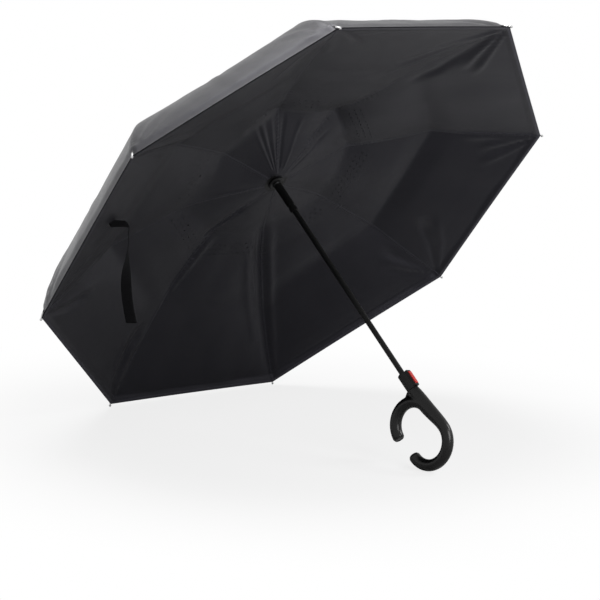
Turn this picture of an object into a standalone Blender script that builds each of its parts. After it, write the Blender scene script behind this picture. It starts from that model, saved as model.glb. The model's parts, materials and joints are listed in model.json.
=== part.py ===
"""Reverse-folding stick umbrella with two canopies, eight ribs and a C-shaped handle, open.

It is drawn upright in its own frame: Z runs along the shaft to the crown, and the rib tips lie
on the plane Z = 0. The empty umbrella_frame then lays it on the floor, on two rib tips and the
bend of the handle.
"""
import math

import bmesh
import bpy
from mathutils import Matrix, Vector

# Canopy and ribs, open
ARM_COUNT = 8
TIP_RADIUS = 0.530
DOME_HEIGHT = 0.200
DOME_CONE_SHARE = 0.27
DOME_EXPONENT = 5.3
FABRIC_INSET = 0.0097
FABRIC_THICKNESS = 0.0005
SLEEVE_CLOTH_GAP = 0.0011
SPIGOT_CLOTH_GAP = 0.0016
INNER_CREST_RADIUS = 0.170
INNER_CREST_DROP = 0.0134
INNER_CREASE_RADIUS = 0.340
INNER_CREASE_DROP = 0.0480
INNER_RISE_EXPONENT = 1.5
CANOPY_INNER_RINGS = 3
CANOPY_MIDDLE_RINGS = 2
CANOPY_RIM_RINGS = 3
CANOPY_GORE_STEPS = 4
INNER_GORE_SAG = 0.0120

# Linkage
PIVOT_RADIUS = 0.0200
RUNNER_PIVOT_Z = 0.110
CROWN_PIVOT_Z = 0.182
ELBOW_RADIUS = 0.265
ELBOW_CLOSED_RADIUS = 0.0518

# Ribs, struts and outer rods
RIB_WIDTH = 0.0050
RIB_HEIGHT = 0.0045
RIB_WALL = 0.0009
TONGUE_THICKNESS = 0.0018
EYE_RADIUS = 0.0028
TONGUE_HOLD = 0.0030
HEAD_TO_CHANNEL = 0.0043
FORK_TO_CHANNEL = 0.0058
STRUT_THICKNESS = 0.0014
STRUT_HEIGHT = 0.0042
RIVET_RADIUS = 0.0022
RIVET_HEIGHT = 0.0009
ROD_RADIUS = 0.0016
ROD_END_RADIUS = 0.0013
ROD_CLOTH_GAP = 0.0024
ROD_LINING_GAP = 0.0024
FORK_CLOTH_GAP = 0.0055
FORK_END = 0.0014
FORK_LENGTH = 0.0150
FORK_SLOT_END = 0.0017
FORK_HEIGHT = 0.0070
FORK_CHEEK = 0.0012
ELBOW_PIN_RADIUS = 0.0010
TIP_WALL = 0.0005
TIP_BALL_PROUD = 0.0005
TIP_LENGTH = 0.0170
TIP_SOCKET_DEPTH = 0.0070
TIP_NECK_RADIUS = 0.0014
BALL_FROM = math.radians(-50)

# Notched heads of the runner and the crown
HEAD_EDGE = 0.0035
HEAD_SLOT_FLOOR = 0.0010
HEAD_OPEN_LIP = 0.0006
HEAD_CLOSED_LIP = 0.0017
RING_WIRE_RADIUS = 0.0007

# Shaft, runner sleeve and crown
SHAFT_RADIUS = 0.0050
SHAFT_WALL = 0.0008
SHAFT_TOP_Z = 0.1955
SHAFT_IN_HANDLE = 0.070
SLEEVE_WALL = 0.0022
SLEEVE_LENGTH = 0.0755
SLEEVE_BEAD_HEIGHT = 0.0030
SLEEVE_BEAD_PROUD = 0.0012
LATCH_GROOVE_DEPTH = 0.0013
LATCH_GROOVE_BELOW = 0.0020
LATCH_GROOVE_ABOVE = 0.0015
HUB_CAP_EDGE = 0.0080
HUB_CAP_HEIGHT = 0.0036
CROWN_NECK_EDGE = 0.0055
SPIGOT_WALL = 0.0017
CROWN_SPIGOT_HEIGHT = 0.0060
WASHER_EDGE = 0.0095
WASHER_HEIGHT = 0.0016
TOP_CAP_EDGE = 0.0060
TOP_CAP_HEIGHT = 0.0110

# Opening spring inside the shaft
SPRING_WIRE_RADIUS = 0.0005
SPRING_CLEARANCE = 0.0005
SPRING_TURNS = 18
SPRING_STEPS = 6
SLOT_CLEARANCE = 0.0004
SLOT_TURN = math.radians(109)
SLIDER_LENGTH = 0.0140
SLIDER_PIN_RADIUS = 0.0009
SLIDER_BELOW_PIVOT = 0.0500
SPRING_SEAT_HEIGHT = 0.0060

# Handle: u is measured from the shaft towards the open side of the C, d from the collar's top
HOOK_TURN = math.radians(169)
COLLAR_WALL = 0.0027
COLLAR_LENGTH = 0.0360
CUP_FLOOR = 0.0100
SLEEVE_STOP = 0.0040
HOUSING_RISE = 0.0033
HOUSING_HALF_WIDTH = 0.0056
HOUSING_START = 0.0012
HOUSING_TO_END = 0.0015
GRIP_RADIUS = 0.0102
GRIP_STRAIGHT = 0.0090
WEB_HALF_WIDTH = 0.0030
WEB_REACH = 0.0110
WEB_RISE = 0.0060
WEB_ROOT = 0.0090
NEAR_HOOK_U = 0.0380
NEAR_HOOK_D = 0.0840
NEAR_HOOK_RADIUS = 0.0410
NEAR_HOOK_FROM = math.radians(160)
NEAR_HOOK_TO = math.radians(6)
FAR_HOOK_U = 0.0310
FAR_HOOK_D = 0.1280
FAR_HOOK_RADIUS = 0.0420
FAR_HOOK_TO = math.radians(359)
HOOK_END_ROUND = 0.0030

# Release button, a rocker on a pin
BUTTON_RISE = 0.0020
BUTTON_CUP_GAP = 0.0020
BUTTON_HALF_WIDTH = 0.0040
BUTTON_ABOVE = 0.0038
BUTTON_BELOW = 0.0035
BUTTON_NOSE_GAP = 0.0007
BUTTON_NOSE_DOWN = 0.0035
BUTTON_NOSE_HEIGHT = 0.0020
BUTTON_PIN_IN = 0.0023
BUTTON_PIN_DOWN = 0.0115
BUTTON_PIN_RADIUS = 0.0010
BUTTON_BEVEL = 0.0009
BUTTON_SPRING_UP = 0.0022
BUTTON_SPRING_RADIUS = 0.0015
BUTTON_SPRING_WIRE = 0.0002
BUTTON_SPRING_TURNS = 3
WINDOW_WALL = 0.0007

# Tie strap, sewn to the inner canopy between two ribs and hanging free
STRAP_WIDTH = 0.0190
STRAP_THICKNESS = 0.0010
STRAP_LENGTH = 0.175
STRAP_REACH = 0.050
STRAP_KNEE_EXPONENT = 6
STRAP_TWIST = math.radians(80)
STRAP_SEAT = 0.0011
STRAP_ARM = 5
STRAP_TURN_SHARE = 0.51
STRAP_INSET = 0.0725
STRAP_STEPS = 9

# Gaps
SEAT_GAP = 0.0003
CUT_OVERRUN = 0.0020
SHELL_SEAM = 0.0003
MERGE_DISTANCE = 0.00002

# Facet counts
ROUND_STEPS = 24
SMALL_STEPS = 8
GRIP_STEPS = 16
ROD_STEPS = 6
ROD_RINGS = 6
WIRE_SIDES = 4
CAP_STEPS = 4
BALL_STEPS = 3
END_STEPS = 3
SPINE_STEPS = 6
FAR_HOOK_STEPS = 14
NEAR_HOOK_STEPS = 11

# Tips that the umbrella rests on, and rounds of the sum that finds its floor
FLOOR_ARMS = 3, 4
FLOOR_ROUNDS = 20

# Sizes that follow the ones above
FABRIC_RADIUS = TIP_RADIUS - FABRIC_INSET
STRAP_RADIUS = TIP_RADIUS - STRAP_INSET
ROD_COVER = ROD_RADIUS + ROD_CLOTH_GAP
ROD_UNDER = ROD_RADIUS + ROD_LINING_GAP
ELBOW_DROP = FORK_HEIGHT / 2 + FORK_CLOTH_GAP
FORK_BACK = EYE_RADIUS + FORK_END
FORK_SLOT_DEPTH = EYE_RADIUS + FORK_SLOT_END
TIP_SLEEVE_RADIUS = ROD_END_RADIUS + SEAT_GAP + TIP_WALL
TIP_BALL_RADIUS = TIP_SLEEVE_RADIUS + TIP_BALL_PROUD
HEAD_RADIUS = PIVOT_RADIUS + HEAD_EDGE
FLAT_RADIUS = HEAD_RADIUS / math.cos(math.pi / ARM_COUNT)
HEAD_CORE_RADIUS = PIVOT_RADIUS - EYE_RADIUS - HEAD_SLOT_FLOOR
HEAD_OPEN_SIDE = EYE_RADIUS + HEAD_OPEN_LIP
HEAD_CLOSED_SIDE = EYE_RADIUS + HEAD_CLOSED_LIP
CHANNEL_START = HEAD_EDGE + HEAD_TO_CHANNEL
ELBOW_CHANNEL_GAP = FORK_BACK + FORK_TO_CHANNEL
STRUT_OFFSET = (RIB_WIDTH + STRUT_THICKNESS) / 2 + SEAT_GAP
SLEEVE_RADIUS = SHAFT_RADIUS + SEAT_GAP + SLEEVE_WALL
HUB_CAP_RADIUS = SLEEVE_RADIUS + HUB_CAP_EDGE
INNER_BORE_RADIUS = SLEEVE_RADIUS + SLEEVE_CLOTH_GAP
CROWN_SPIGOT_RADIUS = SHAFT_RADIUS + SEAT_GAP + SPIGOT_WALL
OUTER_BORE_RADIUS = CROWN_SPIGOT_RADIUS + SPIGOT_CLOTH_GAP
CROWN_NECK_RADIUS = CROWN_SPIGOT_RADIUS + CROWN_NECK_EDGE
WASHER_RADIUS = CROWN_SPIGOT_RADIUS + WASHER_EDGE
TOP_CAP_RADIUS = CROWN_SPIGOT_RADIUS + TOP_CAP_EDGE
SPRING_RADIUS = SHAFT_RADIUS - SHAFT_WALL - SPRING_CLEARANCE - SPRING_WIRE_RADIUS
SLOT_WIDTH = 2 * (SLIDER_PIN_RADIUS + SLOT_CLEARANCE)
COLLAR_RADIUS = SLEEVE_RADIUS + SEAT_GAP + COLLAR_WALL
CUP_DEPTH = COLLAR_LENGTH - CUP_FLOOR
GRIP_BEND_START = COLLAR_LENGTH + GRIP_STRAIGHT
HOUSING_PROUD = COLLAR_RADIUS + HOUSING_RISE
HOUSING_END = COLLAR_LENGTH - HOUSING_TO_END
BUTTON_PROUD = HOUSING_PROUD + BUTTON_RISE
BUTTON_INSIDE = SLEEVE_RADIUS + BUTTON_CUP_GAP
BUTTON_START = HOUSING_START + BUTTON_ABOVE
BUTTON_END = HOUSING_END - BUTTON_BELOW
BUTTON_NOSE_REACH = SLEEVE_RADIUS - LATCH_GROOVE_DEPTH + BUTTON_NOSE_GAP
BUTTON_NOSE_START = BUTTON_START + BUTTON_NOSE_DOWN
BUTTON_NOSE_END = BUTTON_NOSE_START + BUTTON_NOSE_HEIGHT
BUTTON_PIN_U = BUTTON_INSIDE + BUTTON_PIN_IN
BUTTON_PIN_D = BUTTON_START + BUTTON_PIN_DOWN
BUTTON_SPRING_D = BUTTON_END - BUTTON_SPRING_UP
WINDOW_DEPTH_U = SHAFT_RADIUS + SEAT_GAP + WINDOW_WALL
LATCH_GROOVE_START = CUP_DEPTH - SLEEVE_STOP - BUTTON_NOSE_END - LATCH_GROOVE_BELOW
LATCH_GROOVE_END = CUP_DEPTH - SLEEVE_STOP - BUTTON_NOSE_START + LATCH_GROOVE_ABOVE


def dome_z(radius):
    """Underside of the outer canopy over a rib: a low cone that bends down towards the tips."""
    out = max(0.0, radius - HEAD_RADIUS) / (TIP_RADIUS - HEAD_RADIUS)
    cone = DOME_CONE_SHARE * out
    return DOME_HEIGHT * (1 - cone - (1 - DOME_CONE_SHARE) * out ** DOME_EXPONENT)


def rod_z(radius):
    """Centreline of an outer rod, which closes up on the canopy towards its tip."""
    share = (TIP_RADIUS - radius) / (TIP_RADIUS - ELBOW_RADIUS)
    return dome_z(radius) - ROD_COVER - (ELBOW_DROP - ROD_COVER) * share ** 2


ELBOW_Z = rod_z(ELBOW_RADIUS)
HUB_CAP_TOP_Z = RUNNER_PIVOT_Z - HEAD_CLOSED_SIDE - FABRIC_THICKNESS - 2 * SEAT_GAP
INNER_HUB_Z = HUB_CAP_TOP_Z + FABRIC_THICKNESS + SEAT_GAP
SLEEVE_END_Z = RUNNER_PIVOT_Z - HEAD_CLOSED_SIDE - SLEEVE_LENGTH
CROWN_PIVOT_X = math.sqrt(PIVOT_RADIUS ** 2 - STRUT_OFFSET ** 2)
SLIDER_Z = RUNNER_PIVOT_Z - SLIDER_BELOW_PIVOT


def rib_z(radius):
    """Centreline of an inner rib, from its pivot on the runner to its elbow."""
    share = (radius - PIVOT_RADIUS) / (ELBOW_RADIUS - PIVOT_RADIUS)
    return RUNNER_PIVOT_Z + (ELBOW_Z - RUNNER_PIVOT_Z) * share


INNER_CREST_Z = rib_z(INNER_CREST_RADIUS) - INNER_CREST_DROP
INNER_CREASE_Z = rod_z(INNER_CREASE_RADIUS) - INNER_CREASE_DROP
INNER_RIM_Z = rod_z(FABRIC_RADIUS) - ROD_UNDER


def inner_z(radius):
    """Top of the inner canopy over a rib: up from the runner, down to a crease, on to the rim."""
    if radius < INNER_CREST_RADIUS:
        out = max(0.0, radius - FLAT_RADIUS) / (INNER_CREST_RADIUS - FLAT_RADIUS)
        rise = 1 - (1 - out) ** INNER_RISE_EXPONENT
        return INNER_HUB_Z + (INNER_CREST_Z - INNER_HUB_Z) * rise
    if radius < INNER_CREASE_RADIUS:
        out = (radius - INNER_CREST_RADIUS) / (INNER_CREASE_RADIUS - INNER_CREST_RADIUS)
        return INNER_CREST_Z + (INNER_CREASE_Z - INNER_CREST_Z) * out
    out = (radius - INNER_CREASE_RADIUS) / (FABRIC_RADIUS - INNER_CREASE_RADIUS)
    return INNER_CREASE_Z + (INNER_RIM_Z - INNER_CREASE_Z) * out


def stations(start, end, steps):
    """Distances from the shaft, evenly from the start up to, but without, the end."""
    return [start + (end - start) * k / steps for k in range(steps)]


def rod_stations():
    """Distances from the shaft at which the rods, and the outer cloth on them, have a ring."""
    start = ELBOW_RADIUS + FORK_LENGTH - 2 * ROD_RADIUS
    return [*stations(start, FABRIC_RADIUS, ROD_RINGS - 1), FABRIC_RADIUS]


def outer_stations():
    outer = rod_stations()
    return [OUTER_BORE_RADIUS, *stations(HEAD_RADIUS, outer[0], CANOPY_INNER_RINGS), *outer]


def inner_stations():
    return [
        INNER_BORE_RADIUS,
        *stations(FLAT_RADIUS, INNER_CREST_RADIUS, CANOPY_INNER_RINGS),
        *stations(INNER_CREST_RADIUS, INNER_CREASE_RADIUS, CANOPY_MIDDLE_RINGS),
        *stations(INNER_CREASE_RADIUS, FABRIC_RADIUS, CANOPY_RIM_RINGS),
        FABRIC_RADIUS,
    ]


def linkage():
    """Lengths of rib and strut, elevations of the arms open and then closed, and the travel."""
    rib = Vector((ELBOW_RADIUS - PIVOT_RADIUS, ELBOW_Z - RUNNER_PIVOT_Z))
    strut = Vector((ELBOW_RADIUS - CROWN_PIVOT_X, ELBOW_Z - CROWN_PIVOT_Z))
    rod = Vector((TIP_RADIUS - ELBOW_RADIUS, -ELBOW_Z))
    closed_rib = math.acos((ELBOW_CLOSED_RADIUS - PIVOT_RADIUS) / rib.length)
    closed_strut = -math.acos((ELBOW_CLOSED_RADIUS - CROWN_PIVOT_X) / strut.length)
    span = rib.length * math.sin(closed_rib) - strut.length * math.sin(closed_strut)
    return {
        "rib": (math.atan2(rib.y, rib.x), closed_rib),
        "strut": (math.atan2(strut.y, strut.x), closed_strut),
        "rod": (math.atan2(rod.y, rod.x), closed_rib),
        "rib_length": rib.length,
        "strut_length": strut.length,
        "travel": span - CROWN_PIVOT_Z + RUNNER_PIVOT_Z,
    }


ANGLES = linkage()
RUNNER_TRAVEL = ANGLES["travel"]
GRIP_START = RUNNER_TRAVEL - SLEEVE_END_Z - CUP_DEPTH + SLEEVE_STOP
COLLAR_TOP_Z = -GRIP_START
SHAFT_BOTTOM_Z = COLLAR_TOP_Z - SHAFT_IN_HANDLE


def remove_everything():
    for item in list(bpy.data.objects):
        bpy.data.objects.remove(item, do_unlink=True)


def material(name, colour, roughness, metallic=0.0):
    made = bpy.data.materials.new(name)
    made.use_nodes = True
    shader = made.node_tree.nodes["Principled BSDF"]
    shader.inputs["Base Color"].default_value = (*colour, 1.0)
    shader.inputs["Roughness"].default_value = roughness
    shader.inputs["Metallic"].default_value = metallic
    return made


def finish_mesh(bm, name):
    bmesh.ops.remove_doubles(bm, verts=bm.verts, dist=MERGE_DISTANCE)
    bmesh.ops.dissolve_degenerate(bm, edges=bm.edges, dist=MERGE_DISTANCE)
    bmesh.ops.recalc_face_normals(bm, faces=bm.faces)
    mesh = bpy.data.meshes.new(name)
    bm.to_mesh(mesh)
    bm.free()
    return mesh


def place(name, mesh, look, parent, location=(0, 0, 0), rotation=(0, 0, 0), smooth=True):
    item = bpy.data.objects.new(name, mesh)
    bpy.context.scene.collection.objects.link(item)
    item.parent = parent
    item.location = location
    item.rotation_euler = rotation
    if look:
        mesh.materials.clear()
        mesh.materials.append(look)
    if smooth:
        mesh.shade_smooth()
        mesh.set_sharp_from_angle(angle=math.radians(35))
    return item


def frame(name, parent=None, turn=0.0):
    item = bpy.data.objects.new(name, None)
    bpy.context.scene.collection.objects.link(item)
    item.parent = parent
    item.rotation_euler = (0, 0, turn)
    return item


def turned(profile, steps, name="turned", turn=0.0):
    """A closed outline of (radius, z) points turned about Z."""
    bm = bmesh.new()
    rings = []
    for k in range(steps):
        angle = turn + 2 * math.pi * k / steps
        c, s = math.cos(angle), math.sin(angle)
        rings.append([bm.verts.new((r * c, r * s, z)) for r, z in profile])
    for k in range(steps):
        here, there = rings[k], rings[(k + 1) % steps]
        for j in range(len(profile)):
            n = (j + 1) % len(profile)
            corners = [here[j], there[j], there[n], here[n]]
            if profile[j][0] > 0 or profile[n][0] > 0:
                bm.faces.new(corners)
    return finish_mesh(bm, name)


def box(low, high, name="box"):
    bm = bmesh.new()
    bmesh.ops.create_cube(bm, size=1.0)
    low, high = Vector(low), Vector(high)
    size, middle = high - low, (low + high) / 2
    for vert in bm.verts:
        vert.co = Vector((vert.co.x * size.x, vert.co.y * size.y, vert.co.z * size.z)) + middle
    return finish_mesh(bm, name)


def cylinder(start, end, radius, steps, name="cylinder"):
    start, end = Vector(start), Vector(end)
    axis = end - start
    bm = bmesh.new()
    bmesh.ops.create_cone(
        bm, cap_ends=True, segments=steps, radius1=radius, radius2=radius, depth=axis.length
    )
    turn = Vector((0, 0, 1)).rotation_difference(axis).to_matrix().to_4x4()
    bm.transform(Matrix.Translation((start + end) / 2) @ turn)
    return finish_mesh(bm, name)


def ring_wire(radius, wire, steps, sides, name, turn=0.0):
    profile = []
    for k in range(sides):
        angle = 2 * math.pi * k / sides
        profile.append((radius + wire * math.cos(angle), wire * math.sin(angle)))
    return turned(profile, steps, name, turn)


def swept(points, radii, steps, name, flat_axis=Vector((0, 1, 0))):
    """A round rod through points in a plane whose normal is flat_axis, with closed ends."""
    bm = bmesh.new()
    rings = []
    for k, point in enumerate(points):
        before, after = points[max(0, k - 1)], points[min(len(points) - 1, k + 1)]
        along = (after - before).normalized()
        side = flat_axis.cross(along).normalized()
        ring = []
        for j in range(steps):
            angle = 2 * math.pi * (j + 0.5) / steps
            offset = side * math.cos(angle) + flat_axis * math.sin(angle)
            ring.append(bm.verts.new(point + radii[k] * offset))
        rings.append(ring)
    for here, there in zip(rings, rings[1:]):
        for j in range(steps):
            n = (j + 1) % steps
            bm.faces.new([here[j], here[n], there[n], there[j]])
    bm.faces.new(rings[0])
    bm.faces.new(rings[-1])
    return finish_mesh(bm, name)


def coil(radius, wire, turns, steps, start, length, name):
    """A wire spring about Z, wound evenly over its length."""
    bm = bmesh.new()
    rings = []
    count = turns * steps
    for k in range(count + 1):
        angle = 2 * math.pi * k / steps
        c, s = math.cos(angle), math.sin(angle)
        outward = Vector((c, s, 0))
        middle = radius * outward + Vector((0, 0, start + length * k / count))
        ring = []
        for j in range(WIRE_SIDES):
            around = 2 * math.pi * j / WIRE_SIDES
            ring.append(bm.verts.new(
                middle + wire * (math.cos(around) * outward + math.sin(around) * Vector((0, 0, 1)))
            ))
        rings.append(ring)
    for here, there in zip(rings, rings[1:]):
        for j in range(WIRE_SIDES):
            n = (j + 1) % WIRE_SIDES
            bm.faces.new([here[j], here[n], there[n], there[j]])
    bm.faces.new(rings[0])
    bm.faces.new(rings[-1])
    return finish_mesh(bm, name)


def combine(base, joined=(), cut=()):
    """The base mesh united with some meshes and then cut by others, as one mesh."""
    holder = bpy.data.objects.new("holder", base)
    bpy.context.scene.collection.objects.link(holder)
    tools = []
    for operation, meshes in (("UNION", joined), ("DIFFERENCE", cut)):
        for mesh in meshes:
            tool = bpy.data.objects.new("cutter", mesh)
            bpy.context.scene.collection.objects.link(tool)
            tool.hide_render = True
            tool.display_type = "WIRE"
            modifier = holder.modifiers.new("shape", "BOOLEAN")
            modifier.operation = operation
            modifier.solver = "EXACT"
            modifier.object = tool
            tools.append(tool)
    graph = bpy.context.evaluated_depsgraph_get()
    result = bpy.data.meshes.new_from_object(holder.evaluated_get(graph))
    for item in [holder, *tools]:
        bpy.data.objects.remove(item, do_unlink=True)
    bm = bmesh.new()
    bm.from_mesh(result)
    return finish_mesh(bm, base.name)


def tongue(length, thickness, height, name):
    """A flat end with its round eye on the Y axis and its body along +X."""
    plate = box((0, -thickness / 2, -height / 2), (length, thickness / 2, height / 2), name)
    eye = cylinder((0, -thickness / 2, 0), (0, thickness / 2, 0), EYE_RADIUS, SMALL_STEPS)
    return combine(plate, joined=[eye])


def moved(mesh, matrix):
    mesh.transform(matrix)
    return mesh


def rib_mesh():
    """A folded channel, open below, with a flat eye at each end."""
    length = ANGLES["rib_length"]
    low, high = -RIB_HEIGHT / 2, RIB_HEIGHT / 2
    half = RIB_WIDTH / 2
    end = length - ELBOW_CHANNEL_GAP
    channel = box((CHANNEL_START, -half, low), (end, half, high), "rib")
    hollow = box(
        (CHANNEL_START - CUT_OVERRUN, -half + RIB_WALL, low - CUT_OVERRUN),
        (end + CUT_OVERRUN, half - RIB_WALL, high - RIB_WALL),
    )
    channel = combine(channel, cut=[hollow])
    inner = tongue(CHANNEL_START + TONGUE_HOLD, TONGUE_THICKNESS, RIB_HEIGHT, "inner_eye")
    outer = moved(
        tongue(ELBOW_CHANNEL_GAP + TONGUE_HOLD, TONGUE_THICKNESS, RIB_HEIGHT, "outer_eye"),
        Matrix.Translation((length, 0, 0)) @ Matrix.Rotation(math.pi, 4, "Z"),
    )
    reach = TONGUE_THICKNESS
    wire_hole = cylinder((0, -reach, 0), (0, reach, 0), RING_WIRE_RADIUS + SEAT_GAP, SMALL_STEPS)
    pin_hole = cylinder(
        (length, -reach, 0), (length, reach, 0), ELBOW_PIN_RADIUS + SEAT_GAP, SMALL_STEPS
    )
    return combine(channel, joined=[inner, outer], cut=[wire_hole, pin_hole])


def strut_mesh():
    """A flat stretcher with a riveted eye at its elbow end."""
    length = ANGLES["strut_length"]
    half = STRUT_THICKNESS / 2
    low, high = -STRUT_HEIGHT / 2, STRUT_HEIGHT / 2
    blade = box((0, -half, low), (length, half, high), "strut")
    near_eye = cylinder((0, -half, 0), (0, half, 0), EYE_RADIUS, SMALL_STEPS)
    far_eye = cylinder((length, -half, 0), (length, half, 0), EYE_RADIUS, SMALL_STEPS)
    rivet = cylinder(
        (length, 0, 0), (length, half + RIVET_HEIGHT, 0), RIVET_RADIUS, SMALL_STEPS
    )
    hole_radius = RING_WIRE_RADIUS + 2 * SEAT_GAP
    hole = cylinder((0, -CUT_OVERRUN, 0), (0, CUT_OVERRUN, 0), hole_radius, SMALL_STEPS)
    return combine(blade, joined=[near_eye, far_eye, rivet], cut=[hole])


def rod_points():
    """Centreline of an outer rod from inside its fork to inside its tip, seen from the elbow."""
    points = [Vector((r - ELBOW_RADIUS, 0, rod_z(r) - ELBOW_Z)) for r in rod_stations()]
    along = (points[-1] - points[-2]).normalized()
    points.append(points[-1] + along * (TIP_SOCKET_DEPTH + SEAT_GAP))
    return points


def rod_mesh():
    """A springy round rod in a moulded fork, with the elbow pin across the fork."""
    points = rod_points()
    count = len(points) - 1
    radii = [ROD_RADIUS + (ROD_END_RADIUS - ROD_RADIUS) * k / count for k in range(count + 1)]
    rod = swept(points, radii, ROD_STEPS, "rod")
    slope = math.atan2(points[0].z, points[0].x)
    half = TONGUE_THICKNESS / 2 + SEAT_GAP + FORK_CHEEK
    lean = Matrix.Rotation(-slope, 4, "Y")
    block = box((-FORK_BACK, -half, -FORK_HEIGHT / 2), (FORK_LENGTH, half, FORK_HEIGHT / 2))
    gap = TONGUE_THICKNESS / 2 + SEAT_GAP
    high = FORK_HEIGHT / 2 + CUT_OVERRUN
    slot = box((-FORK_BACK - CUT_OVERRUN, -gap, -high), (FORK_SLOT_DEPTH, gap, high))
    block = moved(combine(block, cut=[slot]), lean)
    pin = cylinder((0, -half, 0), (0, half, 0), ELBOW_PIN_RADIUS, SMALL_STEPS)
    return combine(rod, joined=[block, pin])


def tip_mesh():
    """A turned metal tip: a socket for the rod, a neck for the sewn corner and a ball."""
    bore = ROD_END_RADIUS + SEAT_GAP
    ball = TIP_BALL_RADIUS
    neck_z = TIP_SOCKET_DEPTH + 2 * ROD_RADIUS
    profile = [(0, TIP_SOCKET_DEPTH), (bore, TIP_SOCKET_DEPTH), (bore, 0), (TIP_SLEEVE_RADIUS, 0)]
    profile.append((TIP_SLEEVE_RADIUS, TIP_SOCKET_DEPTH))
    profile.append((TIP_NECK_RADIUS, neck_z))
    for k in range(BALL_STEPS + 1):
        angle = BALL_FROM + (math.pi / 2 - BALL_FROM) * k / BALL_STEPS
        profile.append((ball * math.cos(angle), TIP_LENGTH - ball + ball * math.sin(angle)))
    profile[-1] = (0, TIP_LENGTH)
    return turned(profile, SMALL_STEPS, "tip")


def head_slots(thickness, offset, low, high):
    """One cutter for each arm, as wide as its tongue and the clearance."""
    cutters = []
    half = thickness / 2 + SEAT_GAP
    for k in range(ARM_COUNT):
        cutter = box(
            (HEAD_CORE_RADIUS, offset - half, low), (HEAD_RADIUS + CUT_OVERRUN, offset + half, high)
        )
        cutters.append(moved(cutter, Matrix.Rotation(2 * math.pi * k / ARM_COUNT, 4, "Z")))
    return cutters


def canopy_mesh(height, radii, name, sag):
    """One cloth surface of gores between the rib lines, with a ring at each of the radii."""
    bm = bmesh.new()
    rings = []
    for radius in radii:
        ring = []
        for arm in range(ARM_COUNT):
            for j in range(CANOPY_GORE_STEPS):
                part = j / CANOPY_GORE_STEPS
                ring.append(bm.verts.new(gore_point(arm, part, radius, height, sag)))
        rings.append(ring)
    for here, there in zip(rings, rings[1:]):
        count = len(here)
        for j in range(count):
            n = (j + 1) % count
            bm.faces.new([here[j], there[j], there[n], here[n]])
    mesh = bpy.data.meshes.new(name)
    bm.to_mesh(mesh)
    bm.free()
    return mesh


def rib_line(arm, radius, height):
    angle = 2 * math.pi * arm / ARM_COUNT
    return Vector((radius * math.cos(angle), radius * math.sin(angle), height(radius)))


def gore_point(arm, part, radius, height, sag):
    """A point of a gore, part of the way from one rib line to the next, where the cloth sags."""
    share = max(0.0, radius - HEAD_RADIUS) / (FABRIC_RADIUS - HEAD_RADIUS)
    dip = sag * math.sin(math.pi * share) * math.sin(math.pi * part)
    across = rib_line(arm, radius, height).lerp(rib_line(arm + 1, radius, height), part)
    return across - Vector((0, 0, dip))


def add_thickness(item, thickness, offset):
    modifier = item.modifiers.new("cloth", "SOLIDIFY")
    modifier.thickness = thickness
    modifier.offset = offset
    modifier.use_even_offset = True


def strap_mesh():
    """A flat strap that stands off the cloth where it is sewn on, hangs plumb and twists."""
    down = -floor_normal()
    cloth = STRAP_ARM, STRAP_TURN_SHARE
    sewn = gore_point(*cloth, STRAP_RADIUS, inner_z, INNER_GORE_SAG)
    top = sewn - Vector((0, 0, FABRIC_THICKNESS + STRAP_SEAT))
    inward = -Vector((sewn.x, sewn.y, 0))
    inward = (inward - down * inward.dot(down)).normalized()
    rim = rib_line(STRAP_ARM + 1, TIP_RADIUS, dome_z) - rib_line(STRAP_ARM, TIP_RADIUS, dome_z)
    nearer = gore_point(*cloth, STRAP_RADIUS - STRAP_WIDTH, inner_z, INNER_GORE_SAG) - sewn
    side = down.cross(rim.cross(nearer)).normalized() * STRAP_WIDTH / 2
    bm = bmesh.new()
    rows = []
    for k in range(STRAP_STEPS + 1):
        share = k / STRAP_STEPS
        reach = STRAP_REACH * (1 - (1 - share) ** STRAP_KNEE_EXPONENT)
        middle = top + down * STRAP_LENGTH * share + inward * reach
        half = Matrix.Rotation(STRAP_TWIST * share, 3, down) @ side
        rows.append((bm.verts.new(middle - half), bm.verts.new(middle + half)))
    for here, there in zip(rows, rows[1:]):
        bm.faces.new([here[0], here[1], there[1], there[0]])
    mesh = bpy.data.meshes.new("tie_strap")
    bm.to_mesh(mesh)
    bm.free()
    return mesh


def arc_points(centre_u, centre_d, radius, start, end, count):
    """Points of a hook's arc; angles run from the open side towards the canopy."""
    points = []
    for k in range(count + 1):
        angle = start + (end - start) * k / count
        depth = centre_d - radius * math.sin(angle)
        points.append(Vector((centre_u + radius * math.cos(angle), 0, COLLAR_TOP_Z - depth)))
    return points


def spine_points(count):
    """The grip leaves the stem straight and swings over to the far hook's bend."""
    points = [Vector((0, 0, COLLAR_TOP_Z - COLLAR_LENGTH - SEAT_GAP))]
    reach = FAR_HOOK_U - FAR_HOOK_RADIUS
    for k in range(count):
        share = k / count
        depth = GRIP_BEND_START + (FAR_HOOK_D - GRIP_BEND_START) * share
        points.append(Vector((reach * share ** 2 * (3 - 2 * share), 0, COLLAR_TOP_Z - depth)))
    return points


def rounded_end(points, radii):
    """Rounds the last ring of a swept tube over HOOK_END_ROUND."""
    along = (points[-1] - points[-2]).normalized()
    full = radii[-1]
    last = points[-1]
    for k in range(1, END_STEPS + 1):
        angle = math.pi / 2 * k / END_STEPS
        points.append(last + along * HOOK_END_ROUND * math.sin(angle))
        radii.append(full - HOOK_END_ROUND * (1 - math.cos(angle)))


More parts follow.
